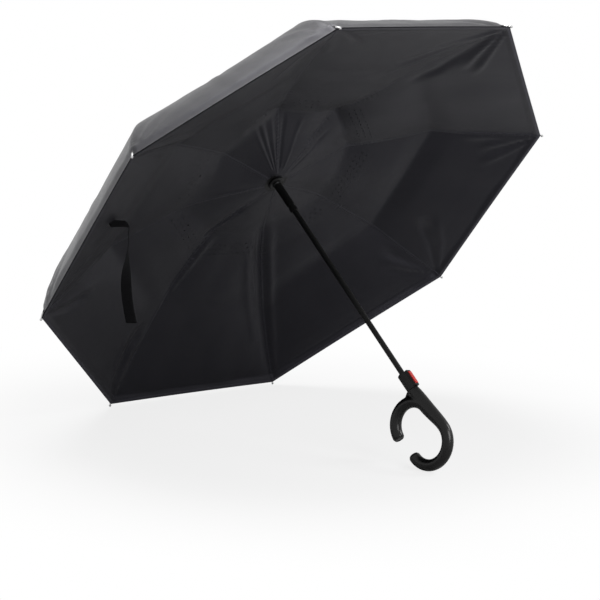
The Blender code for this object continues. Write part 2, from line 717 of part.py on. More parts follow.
def web_mesh():
    """The gusset between the stem and the near hook, beside the collar's foot."""
    near, far = COLLAR_RADIUS + SEAT_GAP, COLLAR_RADIUS + WEB_REACH
    foot = COLLAR_LENGTH + SEAT_GAP
    root = COLLAR_LENGTH + WEB_ROOT
    outline = [
        (0, foot), (near, foot), (near, COLLAR_LENGTH - WEB_RISE), (far, COLLAR_LENGTH),
        (far, root), (0, root),
    ]
    bm = bmesh.new()
    sides = [
        [bm.verts.new((u, side * WEB_HALF_WIDTH, COLLAR_TOP_Z - d)) for u, d in outline]
        for side in (-1, 1)
    ]
    bm.faces.new(sides[0])
    bm.faces.new(sides[1])
    for j in range(len(outline)):
        n = (j + 1) % len(outline)
        bm.faces.new([sides[0][j], sides[0][n], sides[1][n], sides[1][j]])
    return finish_mesh(bm, "web")


def grip_mesh():
    far = spine_points(SPINE_STEPS)
    far += arc_points(
        FAR_HOOK_U, FAR_HOOK_D, FAR_HOOK_RADIUS, math.pi, FAR_HOOK_TO, FAR_HOOK_STEPS
    )
    far_radii = [GRIP_RADIUS] * len(far)
    rounded_end(far, far_radii)
    near = arc_points(
        NEAR_HOOK_U, NEAR_HOOK_D, NEAR_HOOK_RADIUS, NEAR_HOOK_FROM, NEAR_HOOK_TO, NEAR_HOOK_STEPS
    )
    near_radii = [GRIP_RADIUS] * len(near)
    rounded_end(near, near_radii)
    grip = swept(far, far_radii, GRIP_STEPS, "grip")
    hook = swept(near, near_radii, GRIP_STEPS, "near_hook")
    bore = cylinder(
        (0, 0, COLLAR_TOP_Z),
        (0, 0, SHAFT_BOTTOM_Z - SEAT_GAP),
        SHAFT_RADIUS + SEAT_GAP,
        ROUND_STEPS,
    )
    return combine(grip, joined=[hook, web_mesh()], cut=[bore])


def grip_half(side):
    """One of the two shells of the grip; side is +1 or -1 across the C's plane."""
    half = SHELL_SEAM / 2
    hooks = max(NEAR_HOOK_U + NEAR_HOOK_RADIUS, FAR_HOOK_U + FAR_HOOK_RADIUS)
    reach = hooks + GRIP_RADIUS + CUT_OVERRUN
    low_z = COLLAR_TOP_Z - FAR_HOOK_D - FAR_HOOK_RADIUS - GRIP_RADIUS - CUT_OVERRUN
    waste_far = -side * (GRIP_RADIUS + CUT_OVERRUN)
    waste_near = side * half
    waste = box(
        (-reach, min(waste_far, waste_near), low_z),
        (reach, max(waste_far, waste_near), COLLAR_TOP_Z),
    )
    return combine(grip_mesh(), cut=[waste])


def collar_mesh():
    """The collar with its cup for the runner and the window of the release button."""
    top = COLLAR_TOP_Z
    bore = SHAFT_RADIUS + SEAT_GAP
    cup = SLEEVE_RADIUS + SEAT_GAP
    low = top - COLLAR_LENGTH
    profile = [
        (0, low), (COLLAR_RADIUS, low), (COLLAR_RADIUS, top - BUTTON_BEVEL),
        (COLLAR_RADIUS - BUTTON_BEVEL, top), (0, top),
    ]
    body = turned(profile, ROUND_STEPS, "handle_collar")
    wall = (cup + COLLAR_RADIUS) / 2
    housing = box(
        (-HOUSING_PROUD, -HOUSING_HALF_WIDTH, top - HOUSING_END),
        (-wall, HOUSING_HALF_WIDTH, top - HOUSING_START),
    )
    well = turned(
        [(0, low - CUT_OVERRUN), (bore, low - CUT_OVERRUN), (bore, top - CUP_DEPTH),
         (cup, top - CUP_DEPTH), (cup, top + CUT_OVERRUN), (0, top + CUT_OVERRUN)],
        ROUND_STEPS, "well",
    )
    width = BUTTON_HALF_WIDTH + SEAT_GAP
    window = box(
        (-HOUSING_PROUD - CUT_OVERRUN, -width, top - BUTTON_END - 2 * SEAT_GAP),
        (-WINDOW_DEPTH_U, width, top - BUTTON_START + 2 * SEAT_GAP),
    )
    pin_z = top - BUTTON_PIN_D
    across = HOUSING_HALF_WIDTH + CUT_OVERRUN
    pin_hole = cylinder(
        (-BUTTON_PIN_U, -across, pin_z), (-BUTTON_PIN_U, across, pin_z),
        BUTTON_PIN_RADIUS + SEAT_GAP, SMALL_STEPS,
    )
    return combine(body, joined=[housing], cut=[well, window, pin_hole])


def button_mesh():
    """The rocker in its own frame, its pin on the Y axis: a pad outside, a latch nose inside."""
    to_pin = Matrix.Translation((BUTTON_PIN_U, 0, BUTTON_PIN_D))
    half = BUTTON_HALF_WIDTH
    pad = box((-BUTTON_PROUD, -half, -BUTTON_END), (-BUTTON_INSIDE, half, -BUTTON_START), "button")
    bm = bmesh.new()
    bm.from_mesh(pad)
    outer = [e for e in bm.edges if all(v.co.x < -BUTTON_INSIDE - BUTTON_BEVEL for v in e.verts)]
    bmesh.ops.bevel(bm, geom=outer, offset=BUTTON_BEVEL, segments=2, profile=0.5, affect="EDGES")
    pad = finish_mesh(bm, "release_button")
    nose_half = half - BUTTON_BEVEL
    nose = box(
        (-BUTTON_INSIDE - BUTTON_BEVEL, -nose_half, -BUTTON_NOSE_END),
        (-BUTTON_NOSE_REACH, nose_half, -BUTTON_NOSE_START),
    )
    hole = cylinder(
        (-BUTTON_PIN_U, -half - CUT_OVERRUN, -BUTTON_PIN_D),
        (-BUTTON_PIN_U, half + CUT_OVERRUN, -BUTTON_PIN_D),
        BUTTON_PIN_RADIUS + SEAT_GAP, SMALL_STEPS,
    )
    return moved(combine(pad, joined=[nose], cut=[hole]), to_pin)


def runner_mesh():
    """The runner: a notched head above the cloth, and a sleeve with a bead and a latch groove."""
    bore = SHAFT_RADIUS + SEAT_GAP
    head_low, head_high = RUNNER_PIVOT_Z - HEAD_CLOSED_SIDE, RUNNER_PIVOT_Z + HEAD_OPEN_SIDE
    groove = RING_WIRE_RADIUS + SEAT_GAP
    floor = PIVOT_RADIUS - groove
    end = SLEEVE_END_Z
    low = SLEEVE_RADIUS - LATCH_GROOVE_DEPTH
    bead_z = HUB_CAP_TOP_Z - HUB_CAP_HEIGHT - SEAT_GAP
    profile = [
        (bore, end), (SLEEVE_RADIUS, end), (SLEEVE_RADIUS, end + LATCH_GROOVE_START),
        (low, end + LATCH_GROOVE_START), (low, end + LATCH_GROOVE_END),
        (SLEEVE_RADIUS, end + LATCH_GROOVE_END),
        (SLEEVE_RADIUS, bead_z - SLEEVE_BEAD_HEIGHT),
        (SLEEVE_RADIUS + SLEEVE_BEAD_PROUD, bead_z - SLEEVE_BEAD_HEIGHT / 2),
        (SLEEVE_RADIUS, bead_z),
        (SLEEVE_RADIUS, head_low), (HEAD_RADIUS, head_low),
        (HEAD_RADIUS, RUNNER_PIVOT_Z - groove), (floor, RUNNER_PIVOT_Z - groove),
        (floor, RUNNER_PIVOT_Z + groove), (HEAD_RADIUS, RUNNER_PIVOT_Z + groove),
        (HEAD_RADIUS, head_high), (bore, head_high),
    ]
    body = turned(profile, ROUND_STEPS, "runner")
    slots = head_slots(
        TONGUE_THICKNESS, 0.0, RUNNER_PIVOT_Z - EYE_RADIUS - SEAT_GAP, head_high + CUT_OVERRUN
    )
    pin_hole = moved(
        cylinder(
            (0, 0, SLIDER_Z), (SLEEVE_RADIUS + CUT_OVERRUN, 0, SLIDER_Z),
            SLIDER_PIN_RADIUS + SEAT_GAP, SMALL_STEPS,
        ),
        Matrix.Rotation(SLOT_TURN, 4, "Z"),
    )
    return combine(body, cut=[*slots, pin_hole])


def crown_mesh():
    """The crown: a notched head, a neck under the outer cloth and a spigot for the cap."""
    bore = SHAFT_RADIUS + SEAT_GAP
    low, high = CROWN_PIVOT_Z - HEAD_OPEN_SIDE, CROWN_PIVOT_Z + HEAD_CLOSED_SIDE
    groove = RING_WIRE_RADIUS + SEAT_GAP
    floor = PIVOT_RADIUS - groove
    neck_z = DOME_HEIGHT - SEAT_GAP
    top = DOME_HEIGHT + CROWN_SPIGOT_HEIGHT
    profile = [
        (bore, low), (HEAD_RADIUS, low), (HEAD_RADIUS, CROWN_PIVOT_Z - groove),
        (floor, CROWN_PIVOT_Z - groove), (floor, CROWN_PIVOT_Z + groove),
        (HEAD_RADIUS, CROWN_PIVOT_Z + groove), (HEAD_RADIUS, high), (CROWN_NECK_RADIUS, high),
        (CROWN_NECK_RADIUS, neck_z), (CROWN_SPIGOT_RADIUS, neck_z), (CROWN_SPIGOT_RADIUS, top),
        (0, top), (0, SHAFT_TOP_Z + SEAT_GAP), (bore, SHAFT_TOP_Z + SEAT_GAP),
    ]
    body = turned(profile, ROUND_STEPS, "crown")
    slots = head_slots(
        STRUT_THICKNESS, STRUT_OFFSET, low - CUT_OVERRUN, CROWN_PIVOT_Z + EYE_RADIUS + SEAT_GAP
    )
    return combine(body, cut=slots)


def shaft_mesh():
    bore = SHAFT_RADIUS - SHAFT_WALL
    profile = [
        (bore, SHAFT_BOTTOM_Z), (SHAFT_RADIUS, SHAFT_BOTTOM_Z),
        (SHAFT_RADIUS, SHAFT_TOP_Z), (bore, SHAFT_TOP_Z),
    ]
    tube = turned(profile, ROUND_STEPS, "shaft")
    clear = SLIDER_PIN_RADIUS + SEAT_GAP
    slot = moved(
        box(
            (0, -SLOT_WIDTH / 2, SLIDER_Z - RUNNER_TRAVEL - clear),
            (SHAFT_RADIUS + CUT_OVERRUN, SLOT_WIDTH / 2, SLIDER_Z + clear),
        ),
        Matrix.Rotation(SLOT_TURN, 4, "Z"),
    )
    return combine(tube, cut=[slot])


def slider_mesh():
    """The spring's slider in the shaft, with the pin that carries the runner."""
    radius = SHAFT_RADIUS - SHAFT_WALL - SEAT_GAP
    body = cylinder(
        (0, 0, SLIDER_Z - SLIDER_LENGTH / 2), (0, 0, SLIDER_Z + SLIDER_LENGTH / 2),
        radius, ROUND_STEPS, "slider",
    )
    pin = moved(
        cylinder((0, 0, SLIDER_Z), (SLEEVE_RADIUS - SEAT_GAP, 0, SLIDER_Z), SLIDER_PIN_RADIUS,
                 SMALL_STEPS),
        Matrix.Rotation(SLOT_TURN, 4, "Z"),
    )
    return combine(body, joined=[pin])


def tip_position(arm):
    angle = 2 * math.pi * arm / ARM_COUNT
    return Vector((TIP_RADIUS * math.cos(angle), TIP_RADIUS * math.sin(angle), 0))


def floor_normal():
    """Upward normal, in the umbrella's frame, of the plane that two tips and the grip rest on."""
    below = [tip_position(arm) for arm in FLOOR_ARMS]
    hook = Vector((math.cos(HOOK_TURN), math.sin(HOOK_TURN), 0))
    centre = hook * FAR_HOOK_U + Vector((0, 0, COLLAR_TOP_Z - FAR_HOOK_D))
    across = hook.cross(Vector((0, 0, 1)))
    normal = Vector((-hook.x, -hook.y, 1)).normalized()
    for _ in range(FLOOR_ROUNDS):
        down = -normal
        in_plane = (down - across * down.dot(across)).normalized()
        touch = centre + in_plane * FAR_HOOK_RADIUS + down * GRIP_RADIUS
        edge = below[1] - below[0]
        feet = [point + down * TIP_BALL_RADIUS for point in below]
        normal = edge.cross(touch - feet[0]).normalized()
        if normal.z < 0:
            normal.negate()
    return normal


def lay_on_floor(root):
    """Turns the umbrella onto its floor plane, with the shaft rising towards +Y."""
    up = floor_normal()
    shaft = Vector((0, 0, 1))
    forward = (shaft - up * shaft.dot(up)).normalized()
    right = forward.cross(up)
    root.matrix_world = Matrix((right, forward, up)).to_4x4()


def set_origin(root):
    """Moves the umbrella so that its bounds stand on the origin, centred."""
    bpy.context.view_layer.update()
    graph = bpy.context.evaluated_depsgraph_get()
    low, high = Vector((math.inf,) * 3), Vector((-math.inf,) * 3)
    for item in bpy.data.objects:
        if item.type != "MESH":
            continue
        solid = item.evaluated_get(graph)
        for vert in solid.data.vertices:
            point = item.matrix_world @ vert.co
            for axis in range(3):
                low[axis] = min(low[axis], point[axis])
                high[axis] = max(high[axis], point[axis])
    middle = (low + high) / 2
    root.matrix_world = Matrix.Translation((-middle.x, -middle.y, -low.z)) @ root.matrix_world
    bpy.context.view_layer.update()


def build_shaft_and_crown(root, looks):
    place("shaft_tube", shaft_mesh(), looks["shaft"], root)
    place("crown_hub", crown_mesh(), looks["plastic"], root)
    ring_turn = math.pi / ROUND_STEPS
    place("crown_ring",
          ring_wire(PIVOT_RADIUS / math.cos(ring_turn), RING_WIRE_RADIUS, ROUND_STEPS, WIRE_SIDES,
                    "crown_ring", ring_turn),
          looks["steel"], root, location=(0, 0, CROWN_PIVOT_Z))
    washer_z = DOME_HEIGHT + FABRIC_THICKNESS + 2 * SEAT_GAP
    bore = CROWN_SPIGOT_RADIUS + SEAT_GAP
    place("crown_washer",
          turned([(bore, washer_z), (WASHER_RADIUS, washer_z),
                  (WASHER_RADIUS, washer_z + WASHER_HEIGHT / 2),
                  (WASHER_RADIUS - WASHER_HEIGHT, washer_z + WASHER_HEIGHT),
                  (bore, washer_z + WASHER_HEIGHT)], ROUND_STEPS, "crown_washer"),
          looks["plastic"], root)
    cap_z = washer_z + WASHER_HEIGHT + SEAT_GAP
    top = DOME_HEIGHT + CROWN_SPIGOT_HEIGHT + SEAT_GAP
    profile = [(0, top), (bore, top), (bore, cap_z), (TOP_CAP_RADIUS, cap_z)]
    for k in range(CAP_STEPS + 1):
        angle = math.pi / 2 * k / CAP_STEPS
        profile.append((TOP_CAP_RADIUS * math.cos(angle),
                        cap_z + TOP_CAP_HEIGHT / 3 + TOP_CAP_HEIGHT * 2 / 3 * math.sin(angle)))
    profile[-1] = (0, profile[-1][1])
    place("top_cap", turned(profile, ROUND_STEPS, "top_cap"), looks["plastic"], root)


def build_runner(root, looks):
    place("runner", runner_mesh(), looks["plastic"], root)
    ring_turn = math.pi / ROUND_STEPS
    place("runner_ring",
          ring_wire(PIVOT_RADIUS / math.cos(ring_turn), RING_WIRE_RADIUS, ROUND_STEPS, WIRE_SIDES,
                    "runner_ring", ring_turn),
          looks["steel"], root, location=(0, 0, RUNNER_PIVOT_Z))
    low, high = HUB_CAP_TOP_Z - HUB_CAP_HEIGHT, HUB_CAP_TOP_Z
    bore = SLEEVE_RADIUS + SEAT_GAP
    edge = HUB_CAP_HEIGHT / 3
    place("hub_cap",
          turned([(bore, low), (HUB_CAP_RADIUS - 2 * edge, low), (HUB_CAP_RADIUS, low + edge),
                  (HUB_CAP_RADIUS, high), (bore, high)], ROUND_STEPS, "hub_cap"),
          looks["plastic"], root)
    place("spring_slider", slider_mesh(), looks["plastic"], root)


def build_springs(root, looks):
    seat_low = SHAFT_BOTTOM_Z + SHAFT_RADIUS
    radius = SHAFT_RADIUS - SHAFT_WALL - SEAT_GAP
    seat_top = seat_low + SPRING_SEAT_HEIGHT
    place("spring_seat",
          cylinder((0, 0, seat_low), (0, 0, seat_top), radius, ROUND_STEPS, "spring_seat"),
          looks["plastic"], root)
    start = seat_top + SPRING_WIRE_RADIUS + SEAT_GAP
    end = SLIDER_Z - SLIDER_LENGTH / 2 - SPRING_WIRE_RADIUS - SEAT_GAP
    place("opening_spring",
          coil(SPRING_RADIUS, SPRING_WIRE_RADIUS, SPRING_TURNS, SPRING_STEPS, start,
               end - start, "opening_spring"),
          looks["steel"], root)


def build_arms(root, looks):
    rib, strut, rod, tip = rib_mesh(), strut_mesh(), rod_mesh(), tip_mesh()
    points = rod_points()
    along = (points[-1] - points[-2]).normalized()
    tip_start = points[-1] - along * TIP_SOCKET_DEPTH + along * SEAT_GAP
    tip_lean = math.atan2(along.x, along.z)
    for arm in range(ARM_COUNT):
        number = arm + 1
        turn = 2 * math.pi * arm / ARM_COUNT
        base = frame(f"arm_frame_{number}", root, turn=turn)
        place(f"rib_{number}", rib, looks["rib"], base,
              (PIVOT_RADIUS, 0, RUNNER_PIVOT_Z), (0, -ANGLES["rib"][0], 0))
        place(f"strut_{number}", strut, looks["rib"], base,
              (CROWN_PIVOT_X, STRUT_OFFSET, CROWN_PIVOT_Z), (0, -ANGLES["strut"][0], 0))
        place(f"rod_{number}", rod, looks["rod"], base, (ELBOW_RADIUS, 0, ELBOW_Z))
        elbow = Vector((ELBOW_RADIUS, 0, ELBOW_Z))
        place(f"tip_{number}", tip, looks["steel"], base, elbow + tip_start, (0, tip_lean, 0))


def build_canopies(root, looks):
    outer = place("outer_canopy",
                  canopy_mesh(dome_z, outer_stations(), "outer_canopy", 0.0),
                  looks["outer_cloth"], root)
    add_thickness(outer, FABRIC_THICKNESS, 1.0)
    inner = place("inner_canopy",
                  canopy_mesh(inner_z, inner_stations(), "inner_canopy", INNER_GORE_SAG),
                  looks["inner_cloth"], root)
    add_thickness(inner, FABRIC_THICKNESS, -1.0)
    strap = place("tie_strap", strap_mesh(), looks["inner_cloth"], root)
    add_thickness(strap, STRAP_THICKNESS, 0.0)


def build_handle(root, looks):
    hook = frame("hook_frame", root, turn=HOOK_TURN)
    place("handle_collar", collar_mesh(), looks["plastic"], hook)
    place("handle_shell_left", grip_half(1), looks["grip"], hook)
    place("handle_shell_right", grip_half(-1), looks["grip"], hook)
    pivot = (-BUTTON_PIN_U, 0, COLLAR_TOP_Z - BUTTON_PIN_D)
    place("release_button", button_mesh(), looks["button"], hook, pivot)
    half = HOUSING_HALF_WIDTH - SEAT_GAP
    place("button_pin",
          cylinder((0, -half, 0), (0, half, 0), BUTTON_PIN_RADIUS, SMALL_STEPS, "button_pin"),
          looks["steel"], hook, pivot)
    start = -BUTTON_INSIDE + BUTTON_SPRING_WIRE + SEAT_GAP
    end = -WINDOW_DEPTH_U - BUTTON_SPRING_WIRE - SEAT_GAP
    place("button_spring",
          coil(BUTTON_SPRING_RADIUS, BUTTON_SPRING_WIRE, BUTTON_SPRING_TURNS, SPRING_STEPS,
               0.0, end - start, "button_spring"),
          looks["steel"], hook, (start, 0, COLLAR_TOP_Z - BUTTON_SPRING_D),
          (0, math.pi / 2, 0))


def build():
    remove_everything()
    looks = {
        "shaft": material("black_steel", (0.012, 0.012, 0.013), 0.35, 0.6),
        "plastic": material("black_plastic", (0.010, 0.010, 0.011), 0.42),
        "grip": material("grip_black", (0.010, 0.010, 0.010), 0.38),
        "steel": material("bright_steel", (0.62, 0.62, 0.63), 0.25, 1.0),
        "rib": material("rib_steel", (0.10, 0.10, 0.11), 0.40, 0.9),
        "rod": material("rod_fibre", (0.015, 0.015, 0.016), 0.50),
        "outer_cloth": material("outer_cloth", (0.030, 0.031, 0.034), 0.62),
        "inner_cloth": material("inner_cloth", (0.016, 0.016, 0.018), 0.70),
        "button": material("button_red", (0.55, 0.012, 0.010), 0.35),
    }
    root = frame("umbrella_frame")
    build_shaft_and_crown(root, looks)
    build_runner(root, looks)
    build_springs(root, looks)
    build_arms(root, looks)
    build_canopies(root, looks)
    build_handle(root, looks)
    lay_on_floor(root)
    set_origin(root)


build()
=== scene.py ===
"""Looks of the open reverse-folding umbrella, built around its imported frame.

Cloth is laid out in the umbrella's own frame: Z runs along the shaft to the crown, the tips lie
near Z = 0, and rib k (1 to 8) stands at 45 (k - 1) degrees. Lengths are in metres.
"""
import json
import math

import bmesh
import bpy
import numpy as np
from mathutils import Matrix, Vector


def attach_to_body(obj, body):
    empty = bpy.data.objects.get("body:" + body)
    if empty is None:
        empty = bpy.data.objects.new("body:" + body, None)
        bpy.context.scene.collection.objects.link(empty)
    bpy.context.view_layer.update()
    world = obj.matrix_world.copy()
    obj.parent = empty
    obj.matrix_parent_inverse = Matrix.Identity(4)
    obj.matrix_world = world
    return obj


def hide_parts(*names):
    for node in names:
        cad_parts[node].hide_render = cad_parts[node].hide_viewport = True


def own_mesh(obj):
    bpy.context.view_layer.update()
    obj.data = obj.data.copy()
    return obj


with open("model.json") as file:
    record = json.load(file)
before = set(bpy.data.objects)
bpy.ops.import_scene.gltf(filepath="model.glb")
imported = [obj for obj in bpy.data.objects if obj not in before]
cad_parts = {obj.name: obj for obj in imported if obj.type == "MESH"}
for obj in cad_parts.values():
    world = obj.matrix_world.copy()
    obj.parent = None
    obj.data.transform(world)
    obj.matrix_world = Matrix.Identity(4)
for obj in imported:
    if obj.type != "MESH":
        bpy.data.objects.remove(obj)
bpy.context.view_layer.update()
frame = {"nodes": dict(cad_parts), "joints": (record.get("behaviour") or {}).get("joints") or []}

ARMS = 8
GORE = 2 * math.pi / ARMS
JOINTS = {joint["name"]: joint for joint in frame["joints"]}

# Places in the umbrella's frame that the model's source gives
RUNNER_PIVOT_Z = 0.110
ELBOW_RADIUS = 0.265
TIP_RADIUS = 0.530
HEAD_RADIUS = 0.0235
FLAT_RADIUS = HEAD_RADIUS / math.cos(GORE / 2)
CLOTH_RADIUS = 0.5203
HEM_RADIUS = 0.5272
DOME_HEIGHT = 0.200
DOME_CONE_SHARE = 0.27
DOME_EXPONENT = 5.3
CREASE_RADIUS = 0.340
CLOTH_BORE = 0.0087


# ---- the umbrella's frame

def umbrella_matrix():
    """The umbrella's frame in the row frame, found from the rib hinges and the runner's slide."""
    hinges = [np.array(JOINTS[f"rib_{k}_hinge"]["pos_m"], float) for k in range(1, ARMS + 1)]
    centre = sum(hinges) / ARMS
    up = -np.array(JOINTS["runner_slide"]["axis"], float)
    up /= np.linalg.norm(up)
    side = hinges[0] - centre
    side -= up * (side @ up)
    side /= np.linalg.norm(side)
    made = np.eye(4)
    made[:3, 0], made[:3, 1], made[:3, 2] = side, np.cross(up, side), up
    made[:3, 3] = centre - up * RUNNER_PIVOT_Z
    return made


UMBRELLA = umbrella_matrix()


def to_row(points):
    """Points of the umbrella's frame in the row frame."""
    return np.asarray(points, float) @ UMBRELLA[:3, :3].T + UMBRELLA[:3, 3]


def turn_to_row(vectors):
    return np.asarray(vectors, float) @ UMBRELLA[:3, :3].T


def from_row(points):
    return (np.asarray(points, float) - UMBRELLA[:3, 3]) @ UMBRELLA[:3, :3]


# ---- node materials

class Nodes:
    """Short calls for building a node tree."""

    def __init__(self, tree):
        self.tree = tree

    def node(self, kind, **values):
        made = self.tree.nodes.new(kind)
        for key, value in values.items():
            setattr(made, key, value)
        return made

    def link(self, source, target):
        self.tree.links.new(source, target)

    def put(self, socket, value):
        if hasattr(value, "is_output"):
            self.link(value, socket)
        else:
            socket.default_value = value

    def fill(self, node, values):
        """Gives each named input of a node its link or constant."""
        for name, value in values.items():
            self.put(node.inputs[name], value)

    def math(self, operation, a, b=None):
        made = self.node("ShaderNodeMath", operation=operation)
        for socket, value in zip(made.inputs, (a, b)):
            if value is not None:
                self.put(socket, value)
        return made.outputs[0]

    def plus(self, *terms):
        total = terms[0]
        for term in terms[1:]:
            total = self.math("ADD", total, term)
        return total

    def times(self, a, b):
        return self.math("MULTIPLY", a, b)

    def sine(self, value, wavelength):
        return self.math("SINE", self.times(value, 2 * math.pi / wavelength))

    def step(self, value, low, high, to_low=0.0, to_high=1.0):
        made = self.node("ShaderNodeMapRange", interpolation_type="SMOOTHSTEP")
        self.fill(made, {"Value": value, "From Min": low, "From Max": high,
                         "To Min": to_low, "To Max": to_high})
        return made.outputs["Result"]

    def mix(self, share, a, b):
        made = self.node("ShaderNodeMix", data_type="RGBA")
        self.fill(made, {"Factor": share, "A": a, "B": b})
        return made.outputs["Result"]

    def noise(self, vector, scale, detail=3.0, roughness=0.5, distortion=0.0):
        made = self.node("ShaderNodeTexNoise")
        self.fill(made, {"Vector": vector, "Scale": scale, "Detail": detail,
                         "Roughness": roughness, "Distortion": distortion})
        return made.outputs["Fac"]

    def place(self):
        return self.node("ShaderNodeTexCoord").outputs["Object"]

    def uv(self, name):
        made = self.node("ShaderNodeUVMap", uv_map=name)
        split = self.node("ShaderNodeSeparateXYZ")
        self.link(made.outputs["UV"], split.inputs[0])
        return made.outputs["UV"], split.outputs["X"], split.outputs["Y"]

    def bump(self, height, distance, strength=1.0, normal=None):
        made = self.node("ShaderNodeBump")
        self.fill(made, {"Height": height, "Distance": distance, "Strength": strength})
        if normal is not None:
            self.link(normal, made.inputs["Normal"])
        return made.outputs["Normal"]


class Look(Nodes):
    """A new material with its shader."""

    def __init__(self, name):
        self.material = bpy.data.materials.new(name)
        self.material.use_nodes = True
        super().__init__(self.material.node_tree)
        self.shader = self.tree.nodes["Principled BSDF"]

    def finished(self, values):
        self.fill(self.shader, values)
        return self.material


def grey(level, blue=0.0):
    return (level * (1 + blue / 8), level, level * (1 + blue), 1.0)


# Sewing and weave of the cloth
THREAD_PITCH = 0.0009
SEAM_STITCH, SEAM_STITCH_INSET = 0.0035, 0.0030
HEM_STITCH, HEM_STITCH_INSET = 0.0032, 0.0070
STITCH_GAP_SHARE = 0.38
SEAM_PUCKER, HEM_PUCKER = 0.0065, 0.0080


def stitch_row(n, off_edge, walked, inset, pitch):
    """A dashed line of stitches at an inset from an edge."""
    walked = n.math("FRACT", n.math("DIVIDE", walked, pitch))
    dash = n.math("GREATER_THAN", walked, STITCH_GAP_SHARE)
    away = n.math("ABSOLUTE", n.math("SUBTRACT", off_edge, inset))
    return n.times(n.step(away, 0.0003, 0.0006, 1.0, 0.0), dash)


def cloth_material(name, dark, light, blue, rough, gloss, sheen, sheen_rough, hem_level_with_sheen):
    """Pongee: a fine plain weave, stitched seams and hem, and patches of wear and sheen, with a
    painted highlight along the seams and a painted sheen on the hem.
    """
    n = Look(name)
    weave, across, along = n.uv("weave")
    _, seam, rim = n.uv("edges")
    place = n.place()
    patches = n.noise(place, 7.0, 4.0, 0.6, 0.4)
    slubs = n.noise(weave, 900.0, 2.0, 0.6)
    grain = n.times(n.sine(across, THREAD_PITCH), n.sine(along, THREAD_PITCH))
    tone = n.plus(n.times(patches, 0.75), n.times(slubs, 0.25), n.times(grain, 0.05))
    # The hem band is the doubled, folded-over hem; its lighter level is partly that cloth and
    # partly a painted sheen
    hem = n.step(rim, 0.0075, 0.0085, 1.0, 0.0)
    # The welt's lighter band along each seam is a painted highlight on the seam's ridge; its bump
    # is real
    welt_ridge_and_highlight = n.step(seam, 0.0008, 0.0024, 1.0, 0.0)
    stitches = n.math("MAXIMUM", stitch_row(n, seam, along, SEAM_STITCH_INSET, SEAM_STITCH),
                      stitch_row(n, rim, across, HEM_STITCH_INSET, HEM_STITCH))
    base = n.mix(tone, grey(dark, blue), grey(light, blue))
    for mask, share, level in ((hem, 0.8, hem_level_with_sheen), (welt_ridge_and_highlight, 0.45, light * 1.9),
                               (stitches, 0.55, light * 1.8)):
        base = n.mix(n.times(mask, share), base, grey(level, blue))
    roughness = n.plus(n.times(patches, 0.16), rough - 0.08, n.times(hem, 0.05))
    rumple = n.noise(place, 22.0, 3.0, 0.5, 0.3)
    pucker = n.times(n.sine(along, SEAM_PUCKER), n.step(seam, 0.001, 0.011, 1.0, 0.0))
    hem_pucker = n.times(n.sine(across, HEM_PUCKER), n.step(rim, 0.001, 0.012, 1.0, 0.0))
    bumps = n.plus(n.times(rumple, 0.9), n.times(pucker, 0.16), n.times(hem_pucker, 0.12),
                   n.times(stitches, 0.25), n.times(welt_ridge_and_highlight, 0.9))
    return n.finished({
        "Base Color": base, "Roughness": roughness, "Specular IOR Level": gloss,
        "Specular Tint": (0.93, 0.92, 1.08, 1.0), "Sheen Weight": sheen,
        "Sheen Roughness": sheen_rough,
        "Normal": n.bump(grain, 0.00006, 0.5, n.bump(bumps, 0.0010, 0.7))})


def plastic_material(name, dark, light, rough, gloss, grain_scale, grain_height):
    """Moulded plastic: a fine grain, a slightly uneven gloss and rubbed high spots."""
    n = Look(name)
    place = n.place()
    patches = n.noise(place, 45.0, 4.0, 0.6, 0.3)
    grain = n.noise(place, grain_scale, 3.0, 0.6)
    rubbed = n.step(n.node("ShaderNodeNewGeometry").outputs["Pointiness"], 0.52, 0.60)
    base = n.mix(patches, grey(dark), grey(light))
    base = n.mix(n.times(rubbed, 0.35), base, grey(light * 2.2))
    roughness = n.plus(n.times(patches, 0.14), rough - 0.07, n.times(grain, 0.06))
    return n.finished({"Base Color": base, "Roughness": roughness, "Specular IOR Level": gloss,
                       "Normal": n.bump(grain, grain_height, 0.6)})


def metal_material(name, dark, light, rough, streak_scale):
    """Drawn or turned metal: faint streaks, fine scratches and dull patches."""
    n = Look(name)
    place = n.place()
    patches = n.noise(place, 60.0, 4.0, 0.6)
    scratch = n.noise(place, streak_scale, 5.0, 0.75, 1.2)
    return n.finished({"Base Color": n.mix(patches, grey(dark), grey(light)), "Metallic": 1.0,
                       "Roughness": n.plus(n.times(scratch, 0.22), rough - 0.11),
                       "Normal": n.bump(scratch, 0.00004, 0.5)})


def button_material():
    n = Look("button_red")
    place = n.place()
    patches = n.noise(place, 120.0, 4.0, 0.6)
    grain = n.noise(place, 2200.0, 2.0, 0.5)
    base = n.mix(patches, (0.50, 0.014, 0.010, 1.0), (0.66, 0.030, 0.020, 1.0))
    return n.finished({"Base Color": base, "Roughness": n.plus(n.times(patches, 0.15), 0.28),
                       "Normal": n.bump(grain, 0.00003, 0.5)})


# Name, darkest and lightest level, blue, roughness, gloss, sheen and its roughness, hem's level
# with its painted sheen
CLOTHS = (
    ("inner_cloth", 0.0066, 0.0108, 0.24, 0.37, 0.27, 0.02, 0.45, 0.034),
    ("outer_cloth", 0.020, 0.030, 0.14, 0.34, 0.35, 0.20, 0.30, 0.045),
    ("strap_cloth", 0.004, 0.006, 0.05, 0.75, 0.06, 0.01, 0.5, 0.007),
)
# Name, darkest and lightest level, roughness, gloss, scale and height of the grain
PLASTICS = (
    ("black_steel", 0.003, 0.006, 0.30, 0.20, 900.0, 0.00003),
    ("black_plastic", 0.003, 0.006, 0.33, 0.22, 1600.0, 0.00004),
    ("grip_black", 0.0024, 0.0046, 0.24, 0.32, 1900.0, 0.00002),
    ("rod_fibre", 0.014, 0.024, 0.45, 0.30, 900.0, 0.00004),
)
